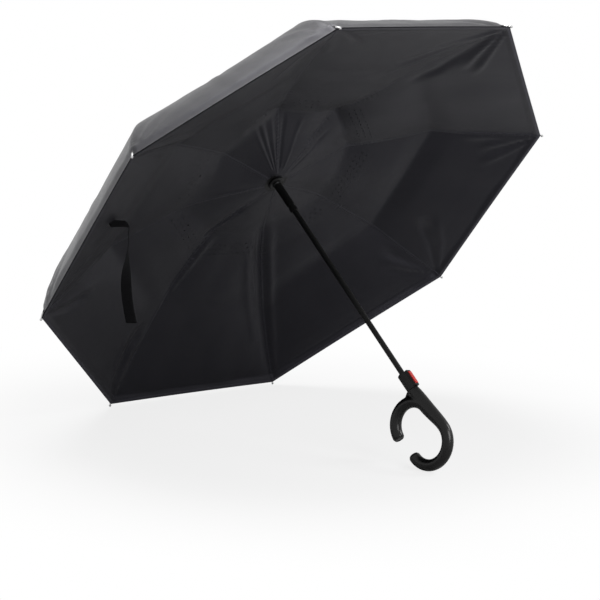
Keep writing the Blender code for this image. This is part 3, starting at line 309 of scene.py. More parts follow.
# Name, darkest and lightest level, roughness, scale of the streaks
METALS = (
    ("bright_steel", 0.55, 0.72, 0.26, 700.0),
    ("rib_steel", 0.10, 0.16, 0.38, 500.0),
)
LOOKS = {"button_red": button_material()}
for make, rows in ((cloth_material, CLOTHS), (plastic_material, PLASTICS),
                   (metal_material, METALS)):
    LOOKS.update({row[0]: make(*row) for row in rows})


# ---- cloth surfaces

def smooth_step(value, low, high):
    share = np.clip((value - low) / (high - low), 0.0, 1.0)
    return share * share * (3 - 2 * share)


def dome_z(radius):
    """Underside of the outer canopy over a rib."""
    out = np.maximum(0.0, radius - HEAD_RADIUS) / (TIP_RADIUS - HEAD_RADIUS)
    cone = DOME_CONE_SHARE * out
    return DOME_HEIGHT * (1 - cone - (1 - DOME_CONE_SHARE) * np.maximum(out, 0) ** DOME_EXPONENT)


# Each rib's seam in the lining, from the hub out: (distance from the shaft, height). The lining is
# sewn to the ribs at the hub and tied near 0.17 and 0.34, not equally tight on every arm.
SEAMS = (
    ((.0254, .1052), (.085, .1135), (.118, .124), (.151, .128), (.177, .126), (.204, .115),
     (.252, .099), (.306, .084), (.362, .066), (.401, .053), (.457, .03), (.5272, .003)),
    ((.0254, .1052), (.096, .119), (.169, .1255), (.236, .114), (.289, .105), (.338, .099),
     (.38, .074), (.447, .043), (.5272, .003)),
    ((.0254, .1052), (.1, .118), (.169, .124), (.268, .106), (.341, .095), (.393, .068),
     (.466, .032), (.5272, .003)),
    ((.0254, .1052), (.152, .122), (.239, .112), (.371, .077), (.452, .043), (.5272, .003)),
    ((.0254, .1052), (.11, .1155), (.165, .125), (.218, .118), (.286, .103), (.41, .056),
     (.5272, .003)),
    ((.0254, .1052), (.138, .12), (.183, .1235), (.305, .103), (.347, .0965), (.43, .05),
     (.5272, .003)),
    ((.0254, .1052), (.087, .12), (.155, .1305), (.241, .115), (.323, .098), (.43, .048),
     (.5272, .003)),
    ((.0254, .1052), (.104, .1225), (.171, .1335), (.251, .114), (.4, .056), (.5272, .003)),
)


def seam_z(arm, radius):
    """Height of the lining's seam over one arm."""
    reach, height = np.array(SEAMS[arm % ARMS]).T
    return np.interp(radius, reach, height)


def softened(height, radius, spread):
    """A height profile with its bends rounded over a few millimetres."""
    shifts = np.linspace(-2, 2, 9)
    weights = np.exp(-shifts ** 2)
    total = sum(w * height(np.maximum(radius + s * spread, 0.0)) for s, w in zip(shifts, weights))
    return total / weights.sum()


def wave(x, y, seed, octaves=3):
    """Smooth pseudo-random waves of about unit height and wavelength."""
    state = np.random.RandomState(seed)
    total = np.zeros(np.broadcast(x, y).shape)
    for octave in range(octaves):
        for _ in range(5):
            angle = state.uniform(0, 2 * math.pi)
            size = 2 ** octave * state.uniform(0.7, 1.3)
            phase = state.uniform(0, 2 * math.pi)
            total += np.sin(2 * math.pi * size * (x * math.cos(angle) + y * math.sin(angle))
                            + phase) / 2 ** octave
    return total / 5


TIP_FOLD_HEIGHT = 0.0030
TIP_FOLD_COUNT = 15.0
TIP_FOLD_START = 0.012
TIP_FOLD_REACH = 0.085


def tip_folds(across, radius, seed):
    """Tension folds that fan out from the two tips of a gore; across is 0 at its middle."""
    total = 0.0
    for side in (-1, 1):
        edge_x = side * TIP_RADIUS * math.sin(GORE / 2)
        edge_y = TIP_RADIUS * math.cos(GORE / 2)
        dx = (across - edge_x) * -side
        dy = edge_y - radius * math.cos(GORE / 2)
        far = np.hypot(dx, dy)
        angle = np.arctan2(dy, dx)
        state = np.random.RandomState(seed + (3 if side > 0 else 0))
        shape = 0.0
        for _ in range(4):
            k = TIP_FOLD_COUNT * state.uniform(0.7, 1.35)
            shape = shape + np.sin(k * angle + state.uniform(0, 2 * math.pi)) / 2.2
        fade = (smooth_step(far, TIP_FOLD_START * 0.3, TIP_FOLD_START * 3)
                * np.exp(-(far / TIP_FOLD_REACH) ** 2))
        total = total + shape * fade
    return total


# The rings bend onto the hinge lines from PULL_START out, and are round again at PULL_END
PULL_START, PULL_END = 0.222, 0.45


def along_hinges(ring, part):
    """Bend the grid's rings near the elbows onto the elbows' hinge lines, where cloth folds."""
    near = np.minimum(part, 1 - part)
    reach = 1 - near * (1 - math.cos(GORE))
    pull = np.interp(ring, (PULL_START, ELBOW_RADIUS, PULL_END), (0.0, 1.0, 0.0))
    return ring + pull * ELBOW_RADIUS * (1 / reach - 1)


class Layer:
    """One canopy's grid in the umbrella's frame: rings from hub to hem, columns round it."""

    def __init__(self, radii, columns, shape):
        self.columns = columns
        self.radii = np.asarray(radii, float)
        ring, column = np.meshgrid(self.radii, np.arange(ARMS * columns), indexing="ij")
        gore, part = column // columns, (column % columns) / columns
        self.rings = along_hinges(ring, part)
        self.points = shape(self.rings, gore, part)
        sideways = np.roll(self.points, -1, axis=1) - np.roll(self.points, 1, axis=1)
        normals = np.cross(sideways, np.gradient(self.points, axis=0))
        self.normals = normals / np.maximum(np.linalg.norm(normals, axis=2, keepdims=True), 1e-12)


def gore_base(ring, gore, part, height):
    """Straight chords between neighbouring seams, at the height of each seam's profile."""
    start, end = gore * GORE, (gore + 1) * GORE
    z = height(gore, ring, part, 0) * (1 - part) + height(gore, ring, part, 1) * part
    x = ring * (np.cos(start) * (1 - part) + np.cos(end) * part)
    y = ring * (np.sin(start) * (1 - part) + np.sin(end) * part)
    return np.stack([x, y, z], axis=2)


# How wide the bend near 0.17 is rounded on each arm; the bend near 0.34 stays sharp
CREST_SPREAD = (0.002, 0.008, 0.013, 0.014, 0.009, 0.013, 0.010, 0.004)
CREASE_SPREAD = 0.0018
# How far each gore's middle smooths out the bend near 0.34 that its seams have
GORE_SPREAD = (0.012, 0.0018, 0.042, 0.034, 0.010, 0.030, 0.024, 0.024)


def inner_height(gore, ring, part, step):
    """Seam heights for a grid of rings: of each column's arm, or of the next one with step 1."""
    z = np.zeros(ring.shape)
    inside = smooth_step(np.minimum(part, 1 - part), 0.0, 0.22)
    for index in range(ARMS):
        here = gore == index
        arm = (index + step) % ARMS
        radius = ring[here]
        near, far, loose = (
            softened(lambda r: seam_z(arm, r), radius, spread)
            for spread in (CREST_SPREAD[arm], CREASE_SPREAD, GORE_SPREAD[index]))
        share = smooth_step(radius, 0.27, 0.31)
        seam = near * (1 - share) + far * share
        z[here] = seam + (loose - seam) * (inside * smooth_step(ring, 0.22, 0.27))[here]
    return z


def to_path(x, y, path):
    """Distance from each point to a polyline in plan, and how far along it, from 0 to 1."""
    path = np.asarray(path, float)
    lengths = np.linalg.norm(np.diff(path, axis=0), axis=1)
    total, best, along = lengths.sum(), np.full(x.shape, 9.0), np.zeros(x.shape)
    walked = 0.0
    for (x0, y0), (x1, y1), length in zip(path[:-1], path[1:], lengths):
        dx, dy = (x1 - x0) / length, (y1 - y0) / length
        t = np.clip((x - x0) * dx + (y - y0) * dy, 0, length)
        far = np.hypot(x - x0 - t * dx, y - y0 - t * dy)
        closer = far < best
        best = np.where(closer, far, best)
        along = np.where(closer, (walked + t) / total, along)
        walked += length
    return best, along


# Creases and folds of the lining in plan: path from the open end to the end it is pulled
# towards, width, and height (up towards the crown is positive)
CREASES = (
    (((.1756, .005), (.1542, .0451), (.1315, .0829), (.1246, .1103)), .022, .0072),
    (((.071, -.159), (.0905, -.1642), (.1115, -.158), (.126, -.1374)), .022, .005),
    (((.126, -.1374), (.1422, -.0893), (.16, -.04), (.1756, .005)), .02, .0022),
)
FOLDS = (
    (((.285, -.076), (.3822, -.044), (.4614, -.025), (.52, -.002)), .015, -.0075),
    (((.295, .026), (.3692, .0316), (.4387, .0181), (.52, .001)), .011, .0055),
    (((.34, -.095), (.43, -.056), (.515, -.006)), .009, -.003),
    (((.3867, .0631), (.45, .031), (.517, .001)), .006, -.0032),
    (((.392, .082), (.45, .045), (.517, .005)), .005, .0028),
    (((.3971, .0982), (.456, .054), (.5146, .0094)), .006, -.0034),
    (((.26, .272), (.31, .32), (.364, .37)), .008, -.0048),
    (((.2698, .3199), (.316, .345), (.364, .369)), .006, -.0036),
    (((.255, .335), (.31, .356), (.363, .371)), .006, .0026),
    (((.242, .3518), (.301, .365), (.362, .373)), .007, -.003),
    (((-.026, .38), (-.02, .43), (-.002, .512)), .009, .005),
    (((-.042, .39), (-.03, .44), (-.002, .512)), .007, -.0032),
    (((-.06, .41), (-.038, .46), (-.003, .515)), .006, .0026),
    (((.0826, .3783), (.0394, .46), (.004, .512)), .01, .0044),
    (((.11, .39), (.06, .46), (.006, .514)), .008, -.0028),
    (((-.08, .072), (-.119, .107), (-.206, .194), (-.304, .293), (-.364, .362)),
     .007, .0048),
    (((-.07, .083), (-.118, .138), (-.206, .23), (-.3, .318), (-.366, .371)),
     .01, -.0052),
    (((-.14, .1), (-.23, .18), (-.32, .28)), .01, -.0024),
    (((-.36, -.02), (-.42, -.033), (-.484, -.0287), (-.515, -.005)), .009, .0056),
    (((-.37, 0), (-.43, -.015), (-.515, -.003)), .007, -.0044),
    (((-.38, -.056), (-.45, -.048), (-.514, -.008)), .007, -.003),
    (((-.06, -.002), (-.0951, -.004), (-.1729, -.012)), .007, .004),
    (((-.15, .008), (-.22, .011), (-.295, .006)), .01, -.0042),
    (((-.32, -.25), (-.352, -.3), (-.368, -.364)), .01, .005),
    (((-.3, -.23), (-.34, -.31), (-.368, -.366)), .008, -.003),
    (((-.23, -.27), (-.3, -.33), (-.366, -.372)), .012, .005),
    (((-.18, -.33), (-.27, -.356), (-.364, -.374)), .009, -.0034),
    (((.045, -.3), (.03, -.4), (.002, -.515)), .013, -.0052),
    (((-.03, -.33), (-.022, -.43), (-.002, -.515)), .009, .0036),
    (((.09, -.37), (.056, -.45), (.004, -.516)), .008, .0026),
    (((.29, -.27), (.33, -.32), (.366, -.37)), .009, -.0032),
    (((.35, -.24), (.364, -.3), (.37, -.366)), .007, .0024),
    (((.2, -.32), (.28, -.352), (.362, -.372)), .008, .0024),
    (((.076, -.15), (.02, -.036)), .0035, -.001),
    (((.088, -.156), (.022, -.034)), .003, .0011),
    (((.099, -.156), (.024, -.033)), .0035, -.0014),
    (((.108, -.152), (.025, -.032)), .003, .0012),
    (((.118, -.142), (.027, -.031)), .0035, -.0014),
    (((.135, -.115), (.03, -.024)), .0045, .0018),
    (((.148, -.07), (.033, -.014)), .005, -.0014),
    (((.15, .03), (.034, .008)), .0045, .0014),
    (((-.09, -.1), (-.025, -.025)), .005, -.0012),
)


def folds(x, y):
    """Height that the lining's folds and creases add."""
    lift = np.zeros(x.shape)
    for path, width, height in CREASES:
        far, _ = to_path(x, y, path)
        lift += height * np.exp(-np.sqrt(far ** 2 + 0.0015 ** 2) / width)
    for path, width, height in FOLDS:
        far, along = to_path(x, y, path)
        narrow = width * (1.15 - 0.70 * along)
        fade = smooth_step(along, 0.0, 0.30) * (1.0 - 0.45 * along)
        lift += height * np.exp(-(far / narrow) ** 2) * fade
    return lift


# Heights of the cloth's sag and drape between two arms, and of the cover's small folds
LINING_SAG, LINING_DRAPE = 0.0055, 0.0020
COVER_SAG, COVER_DRAPE = 0.0040, 0.0013
RUMPLE_HEIGHT, RUMPLE_WAVELENGTH = 0.0010, 0.011
# How much each arm's seam in the lining is shirred near the hub
SHIRR = np.array((0.0011, 0.0003, 0.0004, 0.0003, 0.0011, 0.0004, 0.0005, 0.0009))
SHIRR_WAVELENGTH = 0.0085


def hemmed(points, ring, part, lift, ease, height):
    """Adds a lift that fades at hub and hem, and draws the last rings to the hem's height."""
    hold = 1 - smooth_step(ring, CLOTH_RADIUS - 0.010, HEM_RADIUS)
    points[..., 2] += lift * hold * smooth_step(ring, FLAT_RADIUS, FLAT_RADIUS + ease)
    share = smooth_step(ring, CLOTH_RADIUS - 0.008, HEM_RADIUS)
    chord_z = height + 0.0012 * np.sin(math.pi * part)
    points[..., 2] += (chord_z - points[..., 2]) * share
    return points


def inner_shape(ring, gore, part):
    """The lining: slack near the hub, creased where it is sewn and tied, tight at the tips."""
    points = gore_base(ring, gore, part, inner_height)
    chord = 2 * ring * math.sin(GORE / 2)
    across = (part - 0.5) * chord
    bow = np.sin(math.pi * part)
    out = np.clip((ring - FLAT_RADIUS) / (CLOTH_RADIUS - FLAT_RADIUS), 0, 1)
    sag = LINING_SAG * bow * np.sin(math.pi * out) ** 0.8
    sag *= 1 - 0.70 * np.exp(-((ring - CREASE_RADIUS) / 0.025) ** 2)
    lift = folds(points[..., 0], points[..., 1])
    for index in range(ARMS):
        here = gore == index
        drape = wave(across / 0.17 + index * 1.7, ring / 0.21, 7 + index, 2)
        lift += here * LINING_DRAPE * drape * bow * smooth_step(ring, 0.06, 0.16)
    seam = np.minimum(part, 1 - part) * chord
    shirr = np.sin(2 * math.pi * ring / SHIRR_WAVELENGTH + 2.2 * np.sin(ring * 61 + gore))
    near_seam = np.exp(-(seam / 0.008) ** 2) * (1 - np.exp(-(seam / 0.0015) ** 2))
    nearest = np.where(part < 0.5, gore, (gore + 1) % ARMS)
    shirr_zone = smooth_step(ring, 0.04, 0.07) * (1 - smooth_step(ring, 0.24, 0.32))
    lift += SHIRR[nearest] * shirr * near_seam * shirr_zone
    return hemmed(points, ring, part, lift - sag, 0.02, 0.0008)


def outer_shape(ring, gore, part):
    """The cover: a low cone that bends down to the tips, taut along the rods."""
    points = gore_base(ring, gore, part, lambda *_: softened(dome_z, ring, 0.0015) + 0.0004)
    chord = 2 * ring * math.sin(GORE / 2)
    across = (part - 0.5) * chord
    bow = np.sin(math.pi * part)
    sag = COVER_SAG * bow * smooth_step(ring, 0.03, 0.25) * (1 - smooth_step(ring, 0.36, 0.50))
    lift = np.zeros(ring.shape)
    for index in range(ARMS):
        here = gore == index
        lift += here * TIP_FOLD_HEIGHT * tip_folds(across, ring, 140 + 10 * index)
        drape = wave(across / 0.12 + index * 2.3, ring / 0.15, 70 + index, 3)
        lift += here * COVER_DRAPE * drape * bow * smooth_step(ring, 0.05, 0.15)
        near = np.exp(-((part - 0.47) / 0.07) ** 2)
        rumple = np.sin(2 * math.pi * (across / RUMPLE_WAVELENGTH + 9 * ring))
        lift += here * RUMPLE_HEIGHT * near * rumple * smooth_step(ring, 0.30, 0.42)
    return hemmed(points, ring, part, lift - sag, 0.03, 0.0034)


# Vent holes in the lining: how many rows, the first row, the step between rows, a hole's length,
# the columns of a gore that the rows run over, and how many columns there are to a hole
VENT_ROWS = 3
VENT_RADIUS = 0.1950
VENT_STEP = 0.0115
VENT_HOLE = 0.0020
VENT_COLUMNS = range(6, 42)
VENT_SPACING = 4
INNER_COLUMNS = 48
OUTER_COLUMNS = 40
# Where the bands of cloth over an arm meet. The first three ride the rib or strut, the rest the
# outer rod
ELBOW_END = 0.335
LINING_EDGES = (FLAT_RADIUS, 0.110, 0.188, ELBOW_RADIUS, ELBOW_END, 0.430, HEM_RADIUS)
COVER_EDGES = (FLAT_RADIUS, 0.100, 0.170, ELBOW_RADIUS, ELBOW_END, 0.450, HEM_RADIUS)
# From here out to the hem the rings stand closer together
HEM_START = 0.505


def stations(*stretches):
    """Distances from the shaft: one after another, stretches of (start, end, how many)."""
    radii = [stretches[0][0]]
    for stretch in stretches:
        radii += list(np.linspace(*stretch))[1:]
    return radii


def lining_stations():
    """Rings of the lining: close together, with pairs round each row of vent holes."""
    radii = stations((*LINING_EDGES[:2], 22), (*LINING_EDGES[1:3], 20))
    for row in range(VENT_ROWS):
        start = VENT_RADIUS + row * VENT_STEP
        radii += [start, start + VENT_HOLE, start + (VENT_STEP + VENT_HOLE) / 2]
    return radii + stations((radii[-1], ELBOW_RADIUS, 18), (ELBOW_RADIUS, ELBOW_END, 16),
                            (ELBOW_END, HEM_START, 36), (HEM_START, HEM_RADIUS, 9))[1:]


lining_layer = Layer(lining_stations(), INNER_COLUMNS, inner_shape)
cover_layer = Layer(
    stations((*COVER_EDGES[:2], 16), (COVER_EDGES[1], ELBOW_RADIUS, 40),
             (ELBOW_RADIUS, ELBOW_END, 16), (ELBOW_END, HEM_START, 40),
             (HEM_START, HEM_RADIUS, 10)),
    OUTER_COLUMNS, outer_shape)


# ---- cloth pieces

def add_object(name, data):
    item = bpy.data.objects.new(name, data)
    bpy.context.scene.collection.objects.link(item)
    return item


def mesh_object(name, points, faces, look, normals=None, uvs=None):
    """A mesh object in the row frame, with its own vertex normals and UV maps."""
    mesh = bpy.data.meshes.new(name)
    mesh.from_pydata([tuple(p) for p in points], [], [tuple(f) for f in faces])
    for uv_name, values in (uvs or {}).items():
        layer = mesh.uv_layers.new(name=uv_name)
        layer.data.foreach_set("uv", np.asarray(values, np.float32).ravel())
    mesh.update()
    mesh.shade_smooth()
    if normals is not None:
        mesh.normals_split_custom_set_from_vertices([tuple(n) for n in normals])
    mesh.materials.append(look)
    return add_object(name, mesh)


def node_points(name):
    """The corners of a CAD node, in the row frame."""
    node = frame["nodes"][name]
    return np.array([tuple(node.matrix_world @ v.co) for v in node.data.vertices])


def sleeve(rows, sides, base=0, capped=False):
    """Faces between neighbouring rings of points, and over both ends if it is capped."""
    faces = []
    for i in range(rows - 1):
        a, b = base + i * sides, base + (i + 1) * sides
        for j in range(sides):
            n = (j + 1) % sides
            faces.append((a + j, b + j, b + n, a + n))
    if capped:
        end = base + rows * sides
        faces += [list(range(base, base + sides)), list(range(end - sides, end))[::-1]]
    return faces


def circle(sides):
    """Cosines and sines of evenly spaced angles round a circle."""
    turn = 2 * math.pi / sides
    return [(math.cos(turn * k), math.sin(turn * k)) for k in range(sides)]


def attach(item, body, slot, *nodes):
    """States what a piece moves with and hides the nodes it stands for; slot is not used."""
    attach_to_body(item, body)
    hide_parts(*nodes)


def ring_of(layer, radius):
    """The number of the ring nearest a distance from the shaft."""
    return int(np.argmin(np.abs(layer.radii - radius)))


# Cloth from a ring to the rim, along the slope, for each metre of radius
RIM_SLANT = 1.35 * math.cos(GORE / 2)
# The lining's third band runs on under the next one by this much, this far below
FLAP = 0.026
FLAP_GAP = 0.0006


def cloth_band(name, layer, look, arm, low, high, holes, flap):
    """The cloth over one arm, from mid-gore to mid-gore, between two distances from the shaft.

    A flap runs on under the next band, so that no gap opens where the cloth bends at an elbow."""
    r0, r1 = ring_of(layer, low), ring_of(layer, high + flap)
    half = layer.columns // 2
    columns = np.arange(arm * layer.columns - half, arm * layer.columns + half + 1)
    wrapped = columns % (ARMS * layer.columns)
    rows = np.arange(r0, r1 + 1)
    normals = layer.normals[np.ix_(rows, wrapped)]
    under = np.where(rows > ring_of(layer, high), FLAP_GAP, 0.0)
    points = layer.points[np.ix_(rows, wrapped)] - under[:, None, None] * normals
    height, width = len(rows), len(wrapped)
    index = np.arange(height * width).reshape(height, width)
    faces, weave, edges = [], [], []
    for i in range(height - 1):
        for j in range(width - 1):
            first = columns[j]
            gore = first // layer.columns
            if holes and holes(rows[i], first % layer.columns):
                continue
            faces.append((index[i, j], index[i, j + 1], index[i + 1, j + 1], index[i + 1, j]))
            for a, b in ((i, j), (i, j + 1), (i + 1, j + 1), (i + 1, j)):
                ring = layer.rings[rows[a], wrapped[b]]
                part = columns[b] / layer.columns - gore
                chord = 2 * ring * math.sin(GORE / 2)
                weave.append(((part - 0.5) * chord, ring))
                edges.append((min(part, 1 - part) * chord,
                              (layer.radii[-1] - ring) * RIM_SLANT))
    item = mesh_object(name, to_row(points.reshape(-1, 3)), faces, look,
                       turn_to_row(normals.reshape(-1, 3)),
                       {"weave": weave, "edges": edges})
    lengths = np.linalg.norm(np.diff(points, axis=0), axis=2).sum(axis=0)
    chords = np.linalg.norm(np.diff(points, axis=1), axis=2).sum(axis=1)
    item["cut_width"], item["cut_length"] = float(chords.max()), float(lengths.max())
    across = np.cross(points[1:, 1:] - points[:-1, :-1], points[1:, :-1] - points[:-1, 1:])
    item["cut_area"] = float(np.linalg.norm(across, axis=2).sum() / 2)
    return item


def vent_holes(ring_index, column):
    """Whether a face of the lining is left out for a vent hole."""
    radius = lining_layer.radii[ring_index]
    for row in range(VENT_ROWS):
        start = VENT_RADIUS + row * VENT_STEP
        if abs(radius - start) < 1e-6:
            shifted = column + VENT_SPACING // 2 * (row % 2)
            return column in VENT_COLUMNS and shifted % VENT_SPACING == 1
    return False


def declare(item, body, squash_with, slot, node_name):
    """States what a piece of cloth moves with and hides its node; with squash_with it gets a mesh
    of its own. slot is not used.
    """
    attach(item, body, slot, node_name)
    if squash_with:
        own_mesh(item)


# An octagon's share of the circle round it
OCTAGON_SHARE = 0.9
# The hub's distances from a seam and from the hem: too far for either to show
OFF_EDGES = (0.02, 0.2)


def hub_disc(name, layer, look):
    """The flat middle of a canopy, round the runner or the crown."""
    steps = 5
    count = ARMS * layer.columns
    ring = layer.points[0]
    angle = np.arctan2(ring[:, 1], ring[:, 0])
    inner = np.stack([CLOTH_BORE * np.cos(angle), CLOTH_BORE * np.sin(angle), ring[:, 2]], axis=1)
    points = np.array([inner * (1 - k / steps) + ring * (k / steps) for k in range(steps + 1)])
    normals = np.zeros(points.shape)
    normals[..., 2] = np.sign(layer.normals[0, 0, 2])
    normals[-1] = layer.normals[0]
    faces = [(a, d, c, b) for a, b, c, d in sleeve(steps + 1, count)]
    flat = points.reshape(-1, 3)
    weave = [tuple(flat[corner, :2]) for face in faces for corner in face]
    edges = [OFF_EDGES] * len(weave)
    item = mesh_object(name, to_row(flat), faces, look, turn_to_row(normals.reshape(-1, 3)),
                       {"weave": weave, "edges": edges})
    radius = float(np.linalg.norm(ring[:, :2], axis=1).max())
    item["cut_width"] = item["cut_length"] = 2 * radius
    item["cut_area"] = OCTAGON_SHARE * math.pi * (radius ** 2 - CLOTH_BORE ** 2)
    return item


def build_canopy(prefix, layer, slot, node_name, hub_body, arm_body, band_edges,
                 holes=None, flap=0.0):
    """A hub disc and six bands over each arm, the third of them with a flap."""
    look = LOOKS[slot]
    declare(hub_disc(f"{prefix}_hub", layer, look), hub_body, None, slot,
            node_name)
    for arm in range(ARMS):
        number = arm + 1
        for index, letter in enumerate("abcdef"):
            low, high = band_edges[index:index + 2]
            body, hinge, rest = ((arm_body,) * 3 if index < 3 else ("outer_rod", "elbow", "rod"))
            item = cloth_band(f"{prefix}_{number}_{letter}", layer, look, arm, low, high, holes,
                              flap if index == 2 else 0.0)
            declare(item, f"{body}_{number}", f"{hinge}_{number}_hinge",
                    slot,
                    node_name)


# ---- tie strap

STRAP_WIDTH = 0.019
STRAP_THICKNESS = 0.0010
STRAP_HEM = 0.0155
# How far the strap stands off the lining, its knee's radius and how far it hangs
STRAP_REACH = 0.043
STRAP_KNEE = 0.007
STRAP_DROP = 0.168
STRAP_TURN = math.radians(78)
STRAP_TURN_START, STRAP_TURN_END = 0.032, 0.112
# The strap hangs edge on to DROP_ALONG below its knee, then turns to show its face
DROP_ALONG = np.array((0.655, 0.755, 0.0))
DROP_ACROSS = np.array((0.755, -0.655, 0.0))


def ribbon(name, centres, sides, thickness, look):
    """A flat closed band through centres; sides are half its width, from middle to edge."""
    centres, sides = np.asarray(centres, float), np.asarray(sides, float)
    along = np.gradient(centres, axis=0)
    face = np.cross(along, sides)
    face /= np.maximum(np.linalg.norm(face, axis=1, keepdims=True), 1e-9)
    count = 7
    across = np.linspace(-1, 1, count)
    top = centres[:, None] + sides[:, None] * across[None, :, None]
    bulge = face[:, None] * (thickness / 2) * (1 - 0.7 * across[None, :, None] ** 6)
    front, back = top + bulge, top - bulge
    points = np.concatenate([front, back[:, ::-1]], axis=1)
    width = points.shape[1]
    walked = np.concatenate([[0], np.cumsum(np.linalg.norm(np.diff(centres, axis=0), axis=1))])
    half = np.linalg.norm(sides, axis=1)
    faces, weave, edges = sleeve(len(centres), width, capped=True), [], []
    for face in faces:
        for row, column in (divmod(corner, width) for corner in face):
            if len(face) > 4:
                weave.append((0.0, walked[row]))
                edges.append((0.004, 0.05))
            else:
                spot = across[min(column, width - 1 - column)]
                weave.append((spot * half[row], walked[row]))
                edges.append((half[row] * (1 - abs(spot)), 0.05))
    item = mesh_object(name, points.reshape(-1, 3), faces, look,
                       uvs={"weave": weave, "edges": edges})
    item["cut_width"], item["cut_length"] = 2 * float(half.max()), float(walked[-1])
    item["cut_area"] = item["cut_width"] * item["cut_length"]
    return item


def build_strap():
    """Sewn to the lining on edge, it stands off, drops at a knee and turns to face outward."""
    spots = node_points("tie_strap")
    sewn = spots[np.argsort(spots[:, 2])[-4:]].mean(axis=0)
    place = from_row(sewn)
    inward = turn_to_row([-place[0], -place[1], 0.0])
    inward[2] = 0.0
    inward /= np.linalg.norm(inward)
    up = np.array((0, 0, 1))
    outer = np.cross(up, inward)
    centres, sides = [], []
    for t in np.linspace(0, STRAP_REACH - STRAP_KNEE, 14):
        share = t / STRAP_REACH
        centres.append(sewn + inward * t - up * (0.004 * share ** 2 + 0.002))
        lean = 0.80 + 0.15 * share
        sides.append((up * math.cos(lean) + outer * math.sin(lean)) * STRAP_WIDTH * 0.42)
    start, first = centres[-1], sides[-1] / np.linalg.norm(sides[-1])
    for turn in np.linspace(0.15, 1.0, 8):
        angle = turn * math.pi / 2
        centres.append(start + STRAP_KNEE * (inward * math.sin(angle)
                                             - up * (1 - math.cos(angle))))
        side = first * (1 - turn) + DROP_ALONG * turn
        sides.append(side / np.linalg.norm(side) * STRAP_WIDTH / 2)
    start = centres[-1]
    for t in np.linspace(0.004, STRAP_DROP, 44):
        turn = float(smooth_step(t, STRAP_TURN_START, STRAP_TURN_END)) * STRAP_TURN
        sway = 0.0022 * math.sin(t * 21) * inward + 0.0016 * math.sin(t * 34 + 1) * DROP_ACROSS
        share = t / STRAP_DROP
        curve = DROP_ACROSS * (0.0316 * share ** 2 - 0.0222 * share)
        centres.append(start - up * t + curve + sway * smooth_step(t, 0.0, 0.03))
        side = DROP_ALONG * math.cos(turn) + DROP_ACROSS * math.sin(turn)
        sides.append(side * STRAP_WIDTH / 2)
    strap = ribbon("tie_strap_band", centres, sides, STRAP_THICKNESS, LOOKS["strap_cloth"])
    end, along = centres[-1], centres[-1] - centres[-3]
    along = along / np.linalg.norm(along)
    fold = [end + along * t for t in np.linspace(-STRAP_HEM, 0.0007, 6)]
    hem = ribbon("tie_strap_hem", fold, [sides[-1] * 1.01] * 6, STRAP_THICKNESS * 2.1,
                 LOOKS["strap_cloth"])
    for piece in (strap, hem):
        attach(piece, "outer_rod_7", "inner_cloth", "tie_strap")
        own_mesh(piece)


# ---- grip

COLLAR_TOP_Z = -0.3684977
HOOK_TURN = math.radians(169)
GRIP_HALF_THICKNESS = 0.0102
# A bend's middle (u, d), radius and half width, and the angles it runs between
FAR_BEND = (0.0310, 0.1280, 0.0415, 0.0107)
NEAR_BEND = (0.0380, 0.0840, 0.0407, 0.0109)
FAR_FROM, FAR_TO = math.radians(180), math.radians(359)
NEAR_FROM, NEAR_TO = math.radians(163), math.radians(6)
# Main limb in the hook's plane: (distance across, distance down from the collar's top, half
# width), from the collar down to the start of the far bend
GRIP_LIMB = (
    (0.0000, 0.0364, 0.0110), (-0.0004, 0.0400, 0.0114), (-0.0010, 0.0460, 0.0120),
    (-0.0016, 0.0540, 0.0126), (-0.0022, 0.0640, 0.0132), (-0.0030, 0.0740, 0.0134),
    (-0.0046, 0.0860, 0.0131), (-0.0066, 0.0980, 0.0125), (-0.0085, 0.1090, 0.0117),
    (-0.0100, 0.1190, 0.0110),
)
END_ROUND = 0.0032
END_STEPS = 5
WEB_HALF_THICKNESS = 0.0034
WEB_OUTLINE = (
    (0.0, 0.0370), (0.0106, 0.0370), (0.0106, 0.0312), (0.0122, 0.0308),
    (0.0200, 0.0352), (0.0190, 0.0420), (0.0100, 0.0500), (0.0, 0.0500),
)
REMESH_SIZE = 0.0011


def from_hook(u, v, d):
    """A point of the hook's plane (u out to the bends, v across, d down) in the row frame."""
    c, s = math.cos(HOOK_TURN), math.sin(HOOK_TURN)
    return to_row([u * c - v * s, u * s + v * c, COLLAR_TOP_Z - d])


def bend_point(bend, angle):
    """A bend's section at an angle: u, d and half width."""
    u, d, radius, half = bend
    return u + radius * math.cos(angle), d - radius * math.sin(angle), half


def sections_between(path, steps):
    """Resamples a path of (u, d, half width) evenly with a smooth curve through its points."""
    path = np.asarray(path, float)
    length = np.concatenate([[0], np.cumsum(np.hypot(*np.diff(path[:, :2], axis=0).T))])
    spots = np.linspace(0, length[-1], steps)
    made = np.stack([np.interp(spots, length, path[:, k]) for k in range(3)], axis=1)
    for _ in range(3):
        made[1:-1] = (made[:-2] + 2 * made[1:-1] + made[2:]) / 4
    return made


def end_rows(end, before):
    """Sections that round off a tube's end: (middle, half width, how far they draw in)."""
    out = end[:2] - before[:2]
    out /= np.hypot(*out)
    rows = []
    for k in range(1, END_STEPS + 1):
        angle = k / END_STEPS * math.pi / 2
        shrink = END_ROUND * (1 - math.cos(angle))
        rows.append((end[:2] + out * END_ROUND * math.sin(angle), end[2] - shrink, shrink))
    return rows


